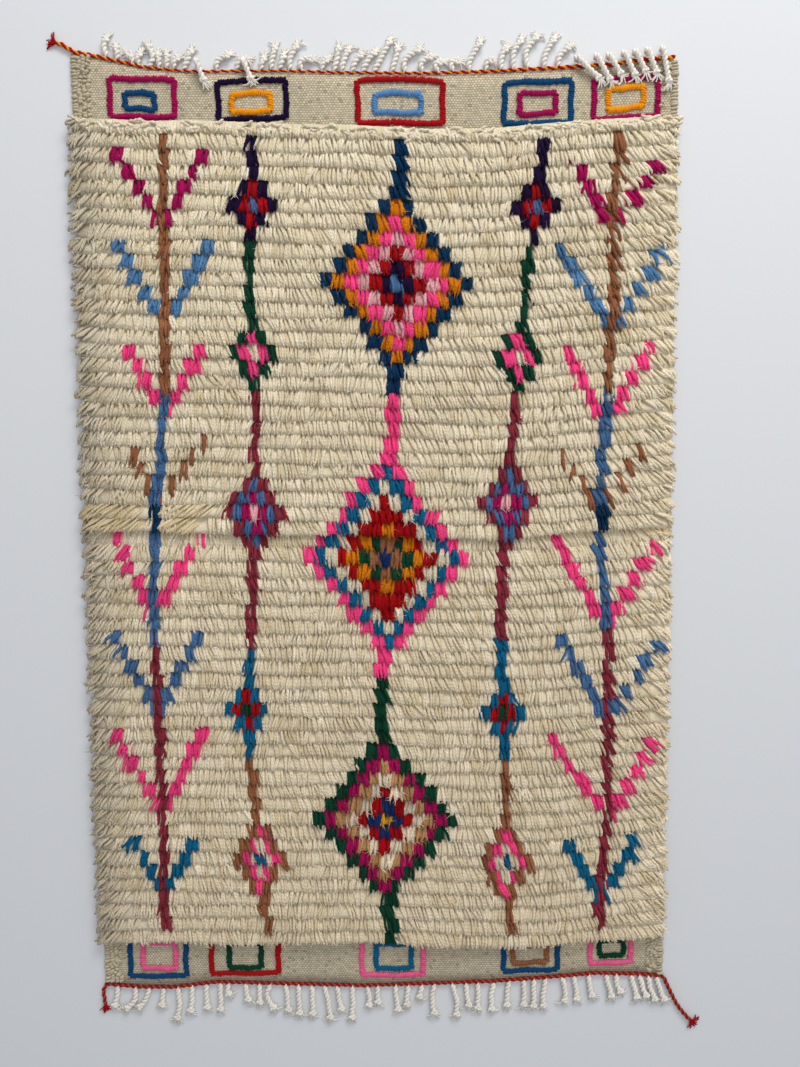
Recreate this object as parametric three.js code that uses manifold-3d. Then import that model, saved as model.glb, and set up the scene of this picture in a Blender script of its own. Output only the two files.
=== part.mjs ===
// Shag wool rug laid flat: knotted pile in rows between two flat-woven end bands with worked yarn
// rectangles, a twined cord along each end and plied, knotted warp fringes.
// Millimetres. +X runs across the rug, +Y towards its upper end, +Z up from the floor.
import * as THREE from "three";
import { mergeVertices } from "three/addons/utils/BufferGeometryUtils.js";
import Module from "manifold-3d";

const wasm = await Module();
wasm.setup();

// Driving sizes
const HALF_WIDTH = 490;
const CLOTH_THICK = 4;
const SEAM_GAP = 0.6;
const LIFT = 0.3;

// The middle of the whole piece, fringes and tails with it, seen from the middle of the weave.
const PIECE_MIDDLE = { across: 17, along: -4 };

// Ends of the cloth and of the pile at stations across the rug
const OUTLINE = [
  { across: -490, upperEnd: 808, pileTop: 706, pileFoot: -690, lowerEnd: -762 },
  { across: -430, upperEnd: 796, pileTop: 704, pileFoot: -687, lowerEnd: -768 },
  { across: -371, upperEnd: 783, pileTop: 700, pileFoot: -686, lowerEnd: -769 },
  { across: -295, upperEnd: 776, pileTop: 701, pileFoot: -688, lowerEnd: -760 },
  { across: -150, upperEnd: 776, pileTop: 694, pileFoot: -690, lowerEnd: -765 },
  { across: -35, upperEnd: 772, pileTop: 691, pileFoot: -690, lowerEnd: -769 },
  { across: 80, upperEnd: 770, pileTop: 684, pileFoot: -695, lowerEnd: -766 },
  { across: 190, upperEnd: 772, pileTop: 684, pileFoot: -699, lowerEnd: -763 },
  { across: 290, upperEnd: 776, pileTop: 692, pileFoot: -699, lowerEnd: -756 },
  { across: 375, upperEnd: 780, pileTop: 697, pileFoot: -689, lowerEnd: -749 },
  { across: 445, upperEnd: 788, pileTop: 700, pileFoot: -685, lowerEnd: -751 },
  { across: 490, upperEnd: 791, pileTop: 701, pileFoot: -683, lowerEnd: -755 },
];

// Pile: rows of cut yarn that lean down the rug, each row's tips over the next row's roots
const PILE = { rows: 58, crest: 19, valley: 13.5, tipStep: 3, lump: 2.2, sway: 2.5, body: 17 };
const ROLL = { tuck: 8, underHeight: 7.2, lipHeight: 10, crown: 19, crownIn: 6 };
const SKIRT = { tuck: 17, underHeight: 7.2, lipHeight: 11 };
const WALL_LEAN = 0.5;
const CREASE = { row: 27, ridge: 4, trough: -4.5 };
const LOCK = { reachLeast: 4, reachMost: 14, tipHeight: 8, notchHeight: 5, notchIn: 2 };
const SHOULDER = { crest: 15, valley: 10 };
const SELVEDGE = { height: 5.5, edgeHeight: 4.5 };
const RIM_STEPS = [0, 10, 25];
const INNER_COLUMNS = 15;

// Twined cord along each end: one raised stitch for each turn of a yarn over the warps
const TWINE = { width: 6.4, low: 5.2, high: 7.6, halfLength: 485 };
const UPPER_STITCHES = 134;
const LOWER_STITCHES = 82;
const TAIL_SECTIONS = 3;

// Fringe: plied warps with an overhand knot and a frayed end, rooted in a narrow strip.
// A strand runs from root over middle to tip across the rug, and half and reach out from its cord.
const STRIP = { width: 3, height: 4, halfLength: 485, bite: 0.6 };
const STRAND = { thick: 6.6, knot: 11, neck: 7, flare: 13, knotHeight: 9, flareHeight: 2.4 };
const KNOT_FROM_TIP = { start: 19, middle: 13, end: 8, shortest: 25 };
const UPPER_FRINGE = [
  { root: -433, middle: -435, tip: -428, half: 20, reach: 36 },
  { root: -416, middle: -415, tip: -418, half: 13, reach: 27 },
  { root: -390, middle: -394, tip: -403, half: 12, reach: 18 },
  { root: -380, middle: -381, tip: -374, half: 12, reach: 24 },
  { root: -366, middle: -357, tip: -367, half: 15, reach: 38 },
  { root: -348, middle: -348, tip: -350, half: 13, reach: 27 },
  { root: -336, middle: -334, tip: -335, half: 17, reach: 27 },
  { root: -324, middle: -322, tip: -311, half: 12, reach: 22 },
  { root: -310, middle: -301, tip: -292, half: 16, reach: 36 },
  { root: -255, middle: -253, tip: -229, half: 14, reach: 27 },
  { root: -225, middle: -216, tip: -199, half: 14, reach: 16 },
  { root: -184, middle: -181, tip: -176, half: 11, reach: 24 },
  { root: -168, middle: -165, tip: -158, half: 17, reach: 41 },
  { root: -156, middle: -149, tip: -144, half: 13, reach: 29 },
  { root: -138, middle: -135, tip: -121, half: 21, reach: 43 },
  { root: -117, middle: -119, tip: -93, half: 14, reach: 18 },
  { root: -86, middle: -83, tip: -71, half: 11, reach: 22 },
  { root: -66, middle: -61, tip: -56, half: 19, reach: 43 },
  { root: -54, middle: -49, tip: -38, half: 19, reach: 40 },
  { root: -38, middle: -30, tip: -16, half: 17, reach: 31 },
  { root: -21, middle: -9, tip: 7, half: 20, reach: 35 },
  { root: -3, middle: 11, tip: 28, half: 22, reach: 53 },
  { root: 26, middle: 33, tip: 39, half: 18, reach: 43 },
  { root: 49, middle: 49, tip: 78, half: 19, reach: 39 },
  { root: 77, middle: 76, tip: 98, half: 15, reach: 27 },
  { root: 105, middle: 97, tip: 115, half: 11, reach: 17 },
  { root: 128, middle: 124, tip: 142, half: 13, reach: 17 },
  { root: 153, middle: 154, tip: 174, half: 17, reach: 50 },
  { root: 180, middle: 182, tip: 198, half: 14, reach: 15 },
  { root: 204, middle: 206, tip: 219, half: 25, reach: 38 },
  { root: 224, middle: 224, tip: 240, half: 25, reach: 50 },
  { root: 248, middle: 244, tip: 265, half: 25, reach: 54 },
  { root: 272, middle: 277, tip: 294, half: 25, reach: 50 },
  { root: 295, middle: 299, tip: 319, half: 18, reach: 35 },
];
const LOWER_FRINGE = [
  { root: -468, middle: -472, tip: -477, half: 24, reach: 44 },
  { root: -438, middle: -440, tip: -460, half: 24, reach: 44 },
  { root: -412, middle: -423, tip: -438, half: 26, reach: 41 },
  { root: -388, middle: -391, tip: -394, half: 22, reach: 41 },
  { root: -364, middle: -361, tip: -368, half: 33, reach: 65 },
  { root: -338, middle: -339, tip: -343, half: 28, reach: 54 },
  { root: -313, middle: -313, tip: -311, half: 28, reach: 52 },
  { root: -289, middle: -288, tip: -289, half: 28, reach: 57 },
  { root: -272, middle: -276, tip: -268, half: 15, reach: 28 },
  { root: -245, middle: -241, tip: -239, half: 22, reach: 39 },
  { root: -220, middle: -219, tip: -220, half: 22, reach: 44 },
  { root: -200, middle: -206, tip: -189, half: 25, reach: 51 },
  { root: -173, middle: -170, tip: -169, half: 30, reach: 56 },
  { root: -151, middle: -150, tip: -149, half: 30, reach: 61 },
  { root: -127, middle: -126, tip: -126, half: 30, reach: 61 },
  { root: -105, middle: -98, tip: -95, half: 33, reach: 68 },
  { root: -83, middle: -79, tip: -74, half: 26, reach: 52 },
  { root: -56, middle: -55, tip: -58, half: 31, reach: 67 },
  { root: -29, middle: -26, tip: -27, half: 21, reach: 43 },
  { root: -11, middle: -11, tip: -11, half: 19, reach: 39 },
  { root: 20, middle: 22, tip: 26, half: 24, reach: 53 },
  { root: 43, middle: 41, tip: 40, half: 21, reach: 45 },
  { root: 68, middle: 64, tip: 62, half: 16, reach: 31 },
  { root: 89, middle: 85, tip: 90, half: 29, reach: 62 },
  { root: 119, middle: 128, tip: 128, half: 29, reach: 66 },
  { root: 144, middle: 147, tip: 150, half: 25, reach: 50 },
  { root: 166, middle: 166, tip: 165, half: 27, reach: 56 },
  { root: 194, middle: 189, tip: 191, half: 29, reach: 58 },
  { root: 221, middle: 217, tip: 217, half: 27, reach: 53 },
  { root: 247, middle: 247, tip: 246, half: 29, reach: 54 },
  { root: 264, middle: 264, tip: 264, half: 31, reach: 58 },
  { root: 286, middle: 281, tip: 281, half: 29, reach: 60 },
  { root: 313, middle: 320, tip: 317, half: 27, reach: 53 },
  { root: 335, middle: 339, tip: 341, half: 28, reach: 51 },
  { root: 361, middle: 363, tip: 370, half: 25, reach: 47 },
  { root: 391, middle: 397, tip: 404, half: 26, reach: 49 },
  { root: 409, middle: 412, tip: 422, half: 23, reach: 40 },
  { root: 435, middle: 442, tip: 449, half: 28, reach: 50 },
  { root: 450, middle: 456, tip: 466, half: 23, reach: 47 },
  { root: 465, middle: 471, tip: 482, half: 28, reach: 52 },
  { root: 480, middle: 487, tip: 498, half: 26, reach: 51 },
];

// Upper strands that turn back over their cord and lie on the band. Their reach is measured inwards.
const FOLDED_STRANDS = [
  { root: -284, tip: -272, reach: 26 },
  { root: -208, tip: -196, reach: 24 },
  { root: 330, tip: 368, reach: 27 },
  { root: 360, tip: 384, reach: 33 },
  { root: 380, tip: 402, reach: 25 },
  { root: 404, tip: 424, reach: 30 },
  { root: 422, tip: 441, reach: 26 },
  { root: 441, tip: 458, reach: 31 },
  { root: 464, tip: 476, reach: 47 },
];
const FOLD_OVER = [
  { out: 0, z: 3 },
  { out: 4.5, z: 3 },
  { out: 7.5, z: 7.6 },
  { out: 3, z: 13 },
  { out: -6, z: 12.4 },
];
const FOLD_LANDING = { knotZ: 10.8, tipZ: 8.3 };

// Worked yarn rectangles on the bands, as the middle line of their yarn
const RECTANGLE_YARN = { width: 7, topWidth: 4.6, height: 2.2, wander: 0.9 };
const RECTANGLES = [
  { name: "upper_1_outer", left: -428, right: -325, low: 708, high: 767, yarn: "magenta" },
  { name: "upper_1_inner", left: -403, right: -357, low: 720, high: 745, yarn: "petrol" },
  { name: "upper_2_outer", left: -254, right: -144, low: 704, high: 762, yarn: "purple" },
  { name: "upper_2_inner", left: -231, right: -170, low: 715, high: 741, yarn: "orange" },
  { name: "upper_3_outer", left: -28, right: 109, low: 696, high: 759, yarn: "red" },
  { name: "upper_3_inner", left: 0, right: 75, low: 711, high: 739, yarn: "sky" },
  { name: "upper_4_outer", left: 210, right: 318, low: 693, high: 757, yarn: "petrol" },
  { name: "upper_4_inner", left: 234, right: 293, low: 708, high: 739, yarn: "magenta" },
  { name: "upper_5_outer", left: 355, right: 458, low: 701, high: 762, yarn: "magenta" },
  { name: "upper_5_inner", left: 378, right: 435, low: 715, high: 747, yarn: "orange" },
  { name: "lower_1_outer", left: -446, right: -347, low: -752, high: -679, yarn: "navy" },
  { name: "lower_1_inner", left: -423, right: -366, low: -737, high: -691, yarn: "pink" },
  { name: "lower_2_outer", left: -303, right: -185, low: -747, high: -681, yarn: "red" },
  { name: "lower_2_inner", left: -271, right: -215, low: -736, high: -693, yarn: "green" },
  { name: "lower_3_outer", left: -39, right: 70, low: -752, high: -683, yarn: "pink" },
  { name: "lower_3_inner", left: -13, right: 48, low: -740, high: -696, yarn: "teal" },
  { name: "lower_4_outer", left: 210, right: 305, low: -745, high: -688, yarn: "navy" },
  { name: "lower_4_inner", left: 227, right: 286, low: -732, high: -700, yarn: "tan" },
  { name: "lower_5_outer", left: 363, right: 434, low: -733, high: -680, yarn: "pink" },
  { name: "lower_5_inner", left: 379, right: 421, low: -720, high: -692, yarn: "green" },
];

const COLOURS = {
  cream: 0xcdbf9f,
  warp: 0xd8d2c4,
  redOrange: 0xb8442a,
  redTan: 0x9c2f2a,
  magenta: 0xa81a5c,
  petrol: 0x145a84,
  purple: 0x2f1748,
  orange: 0xe8930f,
  red: 0xa81522,
  sky: 0x5d8cc4,
  navy: 0x153f78,
  pink: 0xe8558c,
  green: 0x0f5a3c,
  teal: 0x127fa6,
  tan: 0x9a6b3c,
};

// A number from 0 to 1 that depends only on n
function hash(n) {
  const wave = Math.sin(n * 127.1 + 311.7) * 43758.5453;
  return wave - Math.floor(wave);
}

// A number from -1 to 1 for a place in a grid
function jitter(row, column) {
  return 2 * hash(row * 57.31 + column * 9.77) - 1;
}

function blend(a, b, share) {
  return a + (b - a) * share;
}

// The height along the rug of one of the outline's lines, straight between its stations
function outlineAt(line, across) {
  const next = Math.max(1, OUTLINE.findIndex((s) => s.across >= across));
  const b = OUTLINE[across > HALF_WIDTH ? OUTLINE.length - 1 : next];
  const a = OUTLINE[OUTLINE.indexOf(b) - 1];
  return blend(a[line], b[line], (across - a.across) / (b.across - a.across));
}

// Columns of the weave's mesh: close together at the two rims, even between
function columnsAcross() {
  const inner = RIM_STEPS[RIM_STEPS.length - 1];
  const left = RIM_STEPS.slice(0, -1).map((step) => -HALF_WIDTH + step);
  const right = RIM_STEPS.slice(0, -1).map((step) => HALF_WIDTH - step);
  const middle = Array.from({ length: INNER_COLUMNS }, (_, i) =>
    blend(-HALF_WIDTH + inner, HALF_WIDTH - inner, i / (INNER_COLUMNS - 1)),
  );
  return [...left, ...middle, ...right.reverse()];
}

const COLUMNS = columnsAcross();
const LAST = COLUMNS.length - 1;

// Straight between the mesh's columns, so that what lies along an end follows the solid's own edge
function endLine(line, across) {
  const held = Math.min(HALF_WIDTH, Math.max(-HALF_WIDTH, across));
  const next = Math.max(1, COLUMNS.findIndex((x) => x >= held));
  const [a, b] = [COLUMNS[next - 1], COLUMNS[next]];
  return blend(outlineAt(line, a), outlineAt(line, b), (held - a) / (b - a));
}

// Where on the pile's depth a column lies: 0 at the rim, 1 at the shoulder, 2 on the flat of the pile
function rimZone(column) {
  return Math.min(column, LAST - column, 2);
}

function bandPoint(column, along) {
  const height = [SELVEDGE.edgeHeight, SELVEDGE.height, CLOTH_THICK][rimZone(column)];
  return { along, height, reach: 0 };
}

// One row of pile as two points: the crest near its tips and the valley under them
function rowPoints(row, column, pileTop, pileFoot) {
  const zone = rimZone(column);
  const tips = blend(pileTop, pileFoot, (row + 1) / PILE.rows);
  const fold = row === CREASE.row ? CREASE.ridge : 0;
  const trough = row === CREASE.row ? CREASE.trough : 0;
  const crest = [LOCK.tipHeight, SHOULDER.crest, PILE.crest][zone];
  const valley = [LOCK.notchHeight, SHOULDER.valley, PILE.valley][zone];
  const lump = zone === 2 ? PILE.lump * jitter(row, column) : 0;
  const sway = zone === 0 ? 0 : PILE.sway * jitter(row + 91, column);
  const lock = blend(LOCK.reachLeast, LOCK.reachMost, hash(row * 3.7 + column));
  return [
    {
      along: tips + sway + PILE.tipStep,
      height: crest + lump + (zone === 2 ? fold : 0),
      reach: zone === 0 ? lock : 0,
    },
    {
      along: tips + sway,
      height: valley + lump / 2 + (zone === 2 ? trough : 0),
      reach: zone === 0 ? -LOCK.notchIn : 0,
    },
  ];
}

// The rounded first row, which leans a little way over the upper band
function rollPoints(column, pileTop) {
  const rim = rimZone(column) === 0;
  const sway = rim ? 0 : PILE.sway * jitter(-7, column);
  const foot = pileTop - (rim ? 0 : ROLL.tuck);
  const crown = [LOCK.tipHeight, SHOULDER.crest, ROLL.crown][rimZone(column)];
  return [
    { along: foot, height: bandPoint(column, 0).height, reach: 0 },
    {
      along: foot + (rim ? -1 : WALL_LEAN),
      height: rim ? LOCK.notchHeight : ROLL.underHeight,
      reach: 0,
    },
    {
      along: pileTop + (rim ? -2 : sway),
      height: rim ? LOCK.notchHeight + 1 : ROLL.lipHeight,
      reach: 0,
    },
    { along: pileTop - ROLL.crownIn, height: crown, reach: rim ? LOCK.reachLeast : 0 },
  ];
}

// The last row's tips, which hang over the lower band with room for the yarn rectangles under them
function skirtPoints(column, pileFoot) {
  const rim = rimZone(column) === 0;
  const sway = rim ? 0 : PILE.sway * jitter(PILE.rows + 5, column);
  const crest = [LOCK.tipHeight, SHOULDER.crest, PILE.body][rimZone(column)];
  const tuck = rim ? -1 : SKIRT.tuck;
  return [
    { along: pileFoot + PILE.tipStep + sway, height: crest, reach: rim ? LOCK.reachLeast : 0 },
    {
      along: pileFoot + sway,
      height: rim ? LOCK.notchHeight + 1 : SKIRT.lipHeight,
      reach: 0,
    },
    {
      along: pileFoot + tuck,
      height: rim ? LOCK.notchHeight : SKIRT.underHeight,
      reach: 0,
    },
    {
      along: pileFoot + tuck + (rim ? -1 : WALL_LEAN),
      height: bandPoint(column, 0).height,
      reach: 0,
    },
  ];
}

// The weave's upper surface down one column, from the upper end to the lower one
function columnProfile(column) {
  const x = COLUMNS[column];
  const upperEnd = endLine("upperEnd", x);
  const lowerEnd = endLine("lowerEnd", x);
  const pileTop = endLine("pileTop", x);
  const pileFoot = endLine("pileFoot", x);
  const rows = [];
  for (let row = 0; row < PILE.rows - 1; row++) {
    rows.push(...rowPoints(row, column, pileTop, pileFoot));
  }
  return [
    bandPoint(column, upperEnd),
    ...rollPoints(column, pileTop),
    ...rows,
    ...skirtPoints(column, pileFoot),
    bandPoint(column, lowerEnd),
  ];
}

// Knotted pile and both flat-woven bands, woven in one piece
function weaveGeometry() {
  const profiles = COLUMNS.map((_, column) => columnProfile(column));
  const count = profiles[0].length;
  const positions = [];
  const indices = [];
  const upper = (column, i) => column * count + i;
  profiles.forEach((profile, column) => {
    const side = Math.sign(COLUMNS[column]);
    for (const point of profile) {
      positions.push(COLUMNS[column] + side * point.reach, point.along, point.height);
    }
  });
  for (let column = 0; column < LAST; column++) {
    for (let i = 0; i < count - 1; i++) {
      const [a, b] = [upper(column, i), upper(column, i + 1)];
      const [c, d] = [upper(column + 1, i + 1), upper(column + 1, i)];
      indices.push(a, b, c, a, c, d);
    }
  }
  const rim = [];
  for (let i = 0; i < count; i++) rim.push(upper(0, i));
  for (let column = 1; column <= LAST; column++) rim.push(upper(column, count - 1));
  for (let i = count - 2; i >= 0; i--) rim.push(upper(LAST, i));
  for (let column = LAST - 1; column >= 1; column--) rim.push(upper(column, 0));
  const foot = positions.length / 3;
  const contour = rim.map((v) => new THREE.Vector2(positions[3 * v], positions[3 * v + 1]));
  for (const point of contour) positions.push(point.x, point.y, 0);
  rim.forEach((top, i) => {
    const j = (i + 1) % rim.length;
    indices.push(top, foot + i, foot + j, top, foot + j, rim[j]);
  });
  for (const [a, b, c] of THREE.ShapeUtils.triangulateShape(contour, [])) {
    indices.push(foot + a, foot + c, foot + b);
  }
  return indexed(positions, indices);
}

function indexed(positions, indices) {
  const geometry = new THREE.BufferGeometry();
  geometry.setAttribute("position", new THREE.Float32BufferAttribute(positions, 3));
  geometry.setIndex(indices);
  geometry.computeVertexNormals();
  return geometry;
}

// A bar with four sides that lies on the floor. Each section has its two sides in plan and their heights.
function barGeometry(sections) {
  const positions = [];
  const indices = [];
  for (const { left, right, leftTop, rightTop } of sections) {
    positions.push(left.x, left.y, 0, left.x, left.y, leftTop);
    positions.push(right.x, right.y, rightTop, right.x, right.y, 0);
  }
  for (let i = 0; i < sections.length - 1; i++) {
    for (let k = 0; k < 4; k++) {
      const [a, b] = [4 * i + k, 4 * i + ((k + 1) % 4)];
      indices.push(a, b, b + 4, a, b + 4, a + 4);
    }
  }
  const end = 4 * (sections.length - 1);
  indices.push(0, 2, 1, 0, 3, 2);
  indices.push(end, end + 1, end + 2, end, end + 2, end + 3);
  return indexed(positions, indices);
}

// Sections of a bar along a line in plan, square to it, with a width and two heights at each point
function sectionsAlong(points) {
  return points.map((point, i) => {
    const before = points[Math.max(0, i - 1)];
    const after = points[Math.min(points.length - 1, i + 1)];
    const way = new THREE.Vector2(after.x - before.x, after.y - before.y).normalize();
    const half = point.width / 2;
    return {
      left: { x: point.x - way.y * half, y: point.y + way.x * half },
      right: { x: point.x + way.y * half, y: point.y - way.x * half },
      leftTop: point.leftTop,
      rightTop: point.rightTop,
    };
  });
}

// A loose end of the twined cord: ridged like the twining, with a small tuft at the far end
function tailSections(route, tuft) {
  const curve = new THREE.CatmullRomCurve3(route.map((p) => new THREE.Vector3(p.x, p.y, 0)));
  const steps = Math.max(TAIL_SECTIONS, Math.round(curve.getLength() / TWINE.width));
  const points = curve.getSpacedPoints(steps).map((p, i) => ({
    x: p.x,
    y: p.y,
    width: i === steps ? tuft : TWINE.width - 0.6,
    leftTop: i % 2 ? TWINE.high - 1 : TWINE.low,
    rightTop: i % 2 ? TWINE.low : TWINE.high - 1,
  }));
  return sectionsAlong(points);
}

// Twined cord along one end. out is +1 at the upper end and -1 at the lower one.
function twineGeometry(line, out, stitches, startTail, endTail) {
  const near = out * SEAM_GAP;
  const far = out * (SEAM_GAP + TWINE.width);
  const run = [];
  for (let i = 0; i <= stitches; i++) {
    const x = blend(-TWINE.halfLength, TWINE.halfLength, i / stitches);
    const y = endLine(line, x);
    const high = i % 2 === 0;
    const tops = [high ? TWINE.high : TWINE.low, high ? TWINE.low : TWINE.high];
    const [upperSide, lowerSide] = out > 0 ? [far, near] : [near, far];
    run.push({
      left: { x, y: y + upperSide },
      right: { x, y: y + lowerSide },
      leftTop: tops[0],
      rightTop: tops[1],
    });
  }
  return barGeometry([...startTail, ...run, ...endTail]);
}

function solidOf(geometry) {
  const bare = new THREE.BufferGeometry();
  bare.setAttribute("position", geometry.getAttribute("position"));
  bare.setIndex(geometry.getIndex());
  const merged = mergeVertices(bare, 1e-3);
  const mesh = new wasm.Mesh({
    numProp: 3,
    vertProperties: new Float32Array(merged.attributes.position.array),
    triVerts: new Uint32Array(merged.index.array),
  });
  return new wasm.Manifold(mesh);
}

function geometryOf(solid) {
  const mesh = solid.getMesh();
  return indexed(Array.from(mesh.vertProperties), Array.from(mesh.triVerts));
}

// Widths and heights of a strand at distances from its tip
function strandStations(length) {
  const knot = KNOT_FROM_TIP;
  const short = Math.min(1, length / KNOT_FROM_TIP.shortest);
  const plain = length - knot.start * short;
  return [
    { at: 0, width: STRAND.thick, height: STRAND.thick },
    { at: plain / 3, width: STRAND.thick, height: STRAND.thick },
    { at: (2 * plain) / 3, width: STRAND.thick, height: STRAND.thick },
    { at: plain, width: STRAND.thick, height: STRAND.thick },
    { at: length - knot.middle * short, width: STRAND.knot, height: STRAND.knotHeight },
    { at: length - knot.end * short, width: STRAND.neck, height: STRAND.thick - 1 },
    { at: length, width: STRAND.flare, height: STRAND.flareHeight },
  ];
}

// A strand on the floor, from the strip to its tip
function strandGeometry(strand, line, out) {
  const edge = endLine(line, strand.root);
  const cord = edge + out * (SEAM_GAP + TWINE.width / 2);
  const rooted = edge + out * (2 * SEAM_GAP + TWINE.width + STRIP.width - STRIP.bite);
  const curve = new THREE.CatmullRomCurve3([
    new THREE.Vector3(strand.root, rooted, 0),
    new THREE.Vector3(strand.middle, Math.max(cord * out + strand.half, rooted * out + 2) * out, 0),
    new THREE.Vector3(strand.tip, cord + out * strand.reach, 0),
  ]);
  const length = curve.getLength();
  const points = strandStations(length).map(({ at, width, height }) => {
    const { x, y } = curve.getPointAt(Math.min(1, at / length));
    return { x, y, width, leftTop: height, rightTop: height };
  });
  return barGeometry(sectionsAlong(points));
}

// A strand that turns back over the cord: four sides square to a path that rises, turns and lands
function foldedGeometry(strand, line, out) {
  const edge = endLine(line, strand.root);
  const rooted = edge + out * (2 * SEAM_GAP + TWINE.width + STRIP.width - STRIP.bite);
  const root = new THREE.Vector3(strand.root, rooted, 0);
  const cord = edge + out * (SEAM_GAP + TWINE.width / 2);
  const tip = new THREE.Vector3(strand.tip, cord - out * strand.reach, FOLD_LANDING.tipZ);
  const way = new THREE.Vector3(strand.tip - strand.root, tip.y - root.y, 0).normalize();
  const side = new THREE.Vector3(-way.y, way.x, 0);
  const loop = FOLD_OVER.map(({ out: back, z }) => root.clone().addScaledVector(way, -back).setZ(z));
  const backFromTip = (distance, z) => tip.clone().addScaledVector(way, -distance).setZ(z);
  const thick = STRAND.thick - 1;
  const stations = [
    ...loop.map((point) => ({ point, width: STRAND.thick, thick })),
    { point: backFromTip(KNOT_FROM_TIP.middle, FOLD_LANDING.knotZ), width: STRAND.knot, thick: 7 },
    { point: backFromTip(KNOT_FROM_TIP.end, FOLD_LANDING.tipZ + 1.2), width: STRAND.neck, thick: 4.4 },
    { point: tip, width: STRAND.flare, thick: STRAND.flareHeight },
  ];
  const positions = [];
  const indices = [];
  stations.forEach(({ point, width, thick: depth }, i) => {
    const before = stations[Math.max(0, i - 1)].point;
    const after = stations[Math.min(stations.length - 1, i + 1)].point;
    const along = after.clone().sub(before).normalize();
    const normal = along.clone().cross(side).normalize();
    for (const [s, n] of [[1, -1], [1, 1], [-1, 1], [-1, -1]]) {
      const corner = point.clone().addScaledVector(side, (s * width) / 2);
      positions.push(...corner.addScaledVector(normal, (n * depth) / 2).toArray());
    }
    if (i === stations.length - 1) return;
    for (let k = 0; k < 4; k++) {
      const [a, b] = [4 * i + k, 4 * i + ((k + 1) % 4)];
      indices.push(a, b, b + 4, a, b + 4, a + 4);
    }
  });
  const end = 4 * (stations.length - 1);
  indices.push(0, 2, 1, 0, 3, 2, end, end + 1, end + 2, end, end + 2, end + 3);
  return indexed(positions, indices);
}

// Fringe of one end: strands that stand apart, rooted in a narrow strip beyond the twined cord
function fringeGeometry(line, out, flat, folded) {
  const start = 2 * SEAM_GAP + TWINE.width;
  const stripXs = COLUMNS.filter((x) => Math.abs(x) < STRIP.halfLength);
  const strip = [-STRIP.halfLength, ...stripXs, STRIP.halfLength].map((x) => {
    const sides = [endLine(line, x) + out * start, endLine(line, x) + out * (start + STRIP.width)];
    return {
      left: { x, y: Math.max(...sides) },
      right: { x, y: Math.min(...sides) },
      leftTop: STRIP.height,
      rightTop: STRIP.height,
    };
  });
  return geometryOf(
    wasm.Manifold.union([
      solidOf(barGeometry(strip)),
      ...flat.map((strand) => solidOf(strandGeometry(strand, line, out))),
      ...folded.map((strand) => solidOf(foldedGeometry(strand, line, out))),
    ]),
  );
}

// Worked yarn rectangle: a low ring of four sides that wanders a little, as handwork does
function rectangleGeometry(box, key) {
  const middle = { x: (box.left + box.right) / 2, y: (box.low + box.high) / 2 };
  const halfX = (box.right - box.left) / 2;
  const halfY = (box.high - box.low) / 2;
  const around = [
    [-1, -1], [0, -1], [1, -1], [1, 0], [1, 1], [0, 1], [-1, 1], [-1, 0],
  ];
  const foot = CLOTH_THICK + LIFT;
  const top = foot + RECTANGLE_YARN.height;
  const positions = [];
  around.forEach(([sx, sy], i) => {
    const x = middle.x + sx * halfX + RECTANGLE_YARN.wander * jitter(key, i);
    const y = middle.y + sy * halfY + RECTANGLE_YARN.wander * jitter(key + 40, i);
    const rings = [
      { half: RECTANGLE_YARN.width / 2, z: foot },
      { half: RECTANGLE_YARN.topWidth / 2, z: top },
      { half: -RECTANGLE_YARN.topWidth / 2, z: top },
      { half: -RECTANGLE_YARN.width / 2, z: foot },
    ];
    for (const { half, z } of rings) positions.push(x + sx * half, y + sy * half, z);
  });
  const indices = [];
  for (let i = 0; i < around.length; i++) {
    const j = (i + 1) % around.length;
    for (let k = 0; k < 4; k++) {
      const m = (k + 1) % 4;
      indices.push(4 * i + k, 4 * j + k, 4 * j + m, 4 * i + k, 4 * j + m, 4 * i + m);
    }
  }
  return indexed(positions, indices);
}

const rug = new THREE.Group();
rug.name = "rug";

function addPiece(name, geometry, colour, roughness) {
  const material = new THREE.MeshStandardMaterial({ color: colour, roughness, metalness: 0 });
  const mesh = new THREE.Mesh(geometry, material);
  mesh.name = name;
  rug.add(mesh);
}

// Weave
addPiece("weave", weaveGeometry(), COLOURS.cream, 0.95);

// Twined cords, with the loose ends that show at the upper left and at both lower corners
const upperLeft = endLine("upperEnd", -HALF_WIDTH) + SEAM_GAP + TWINE.width / 2;
const lowerLeft = endLine("lowerEnd", -HALF_WIDTH) - SEAM_GAP - TWINE.width / 2;
const lowerRight = endLine("lowerEnd", HALF_WIDTH) - SEAM_GAP - TWINE.width / 2;
const upperLeftTail = tailSections(
  [
    { x: -491, y: upperLeft + 3 },
    { x: -501, y: upperLeft + 9 },
    { x: -512, y: upperLeft + 13 },
  ],
  TWINE.width + 2,
).reverse().map(turnedRound);
const lowerLeftTail = tailSections(
  [
    { x: -490, y: lowerLeft - 3 },
    { x: -495, y: lowerLeft - 12 },
    { x: -494, y: lowerLeft - 26 },
    { x: -493, y: lowerLeft - 38 },
  ],
  TWINE.width + 2,
).reverse().map(turnedRound);
const lowerRightTail = tailSections(
  [
    { x: 493, y: lowerRight - 3 },
    { x: 503, y: lowerRight - 24 },
    { x: 517, y: lowerRight - 52 },
    { x: 531, y: lowerRight - 71 },
    { x: 541, y: lowerRight - 82 },
  ],
  TWINE.width + 9,
);

// A section seen from the other way along its bar
function turnedRound({ left, right, leftTop, rightTop }) {
  return { left: right, right: left, leftTop: rightTop, rightTop: leftTop };
}

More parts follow.
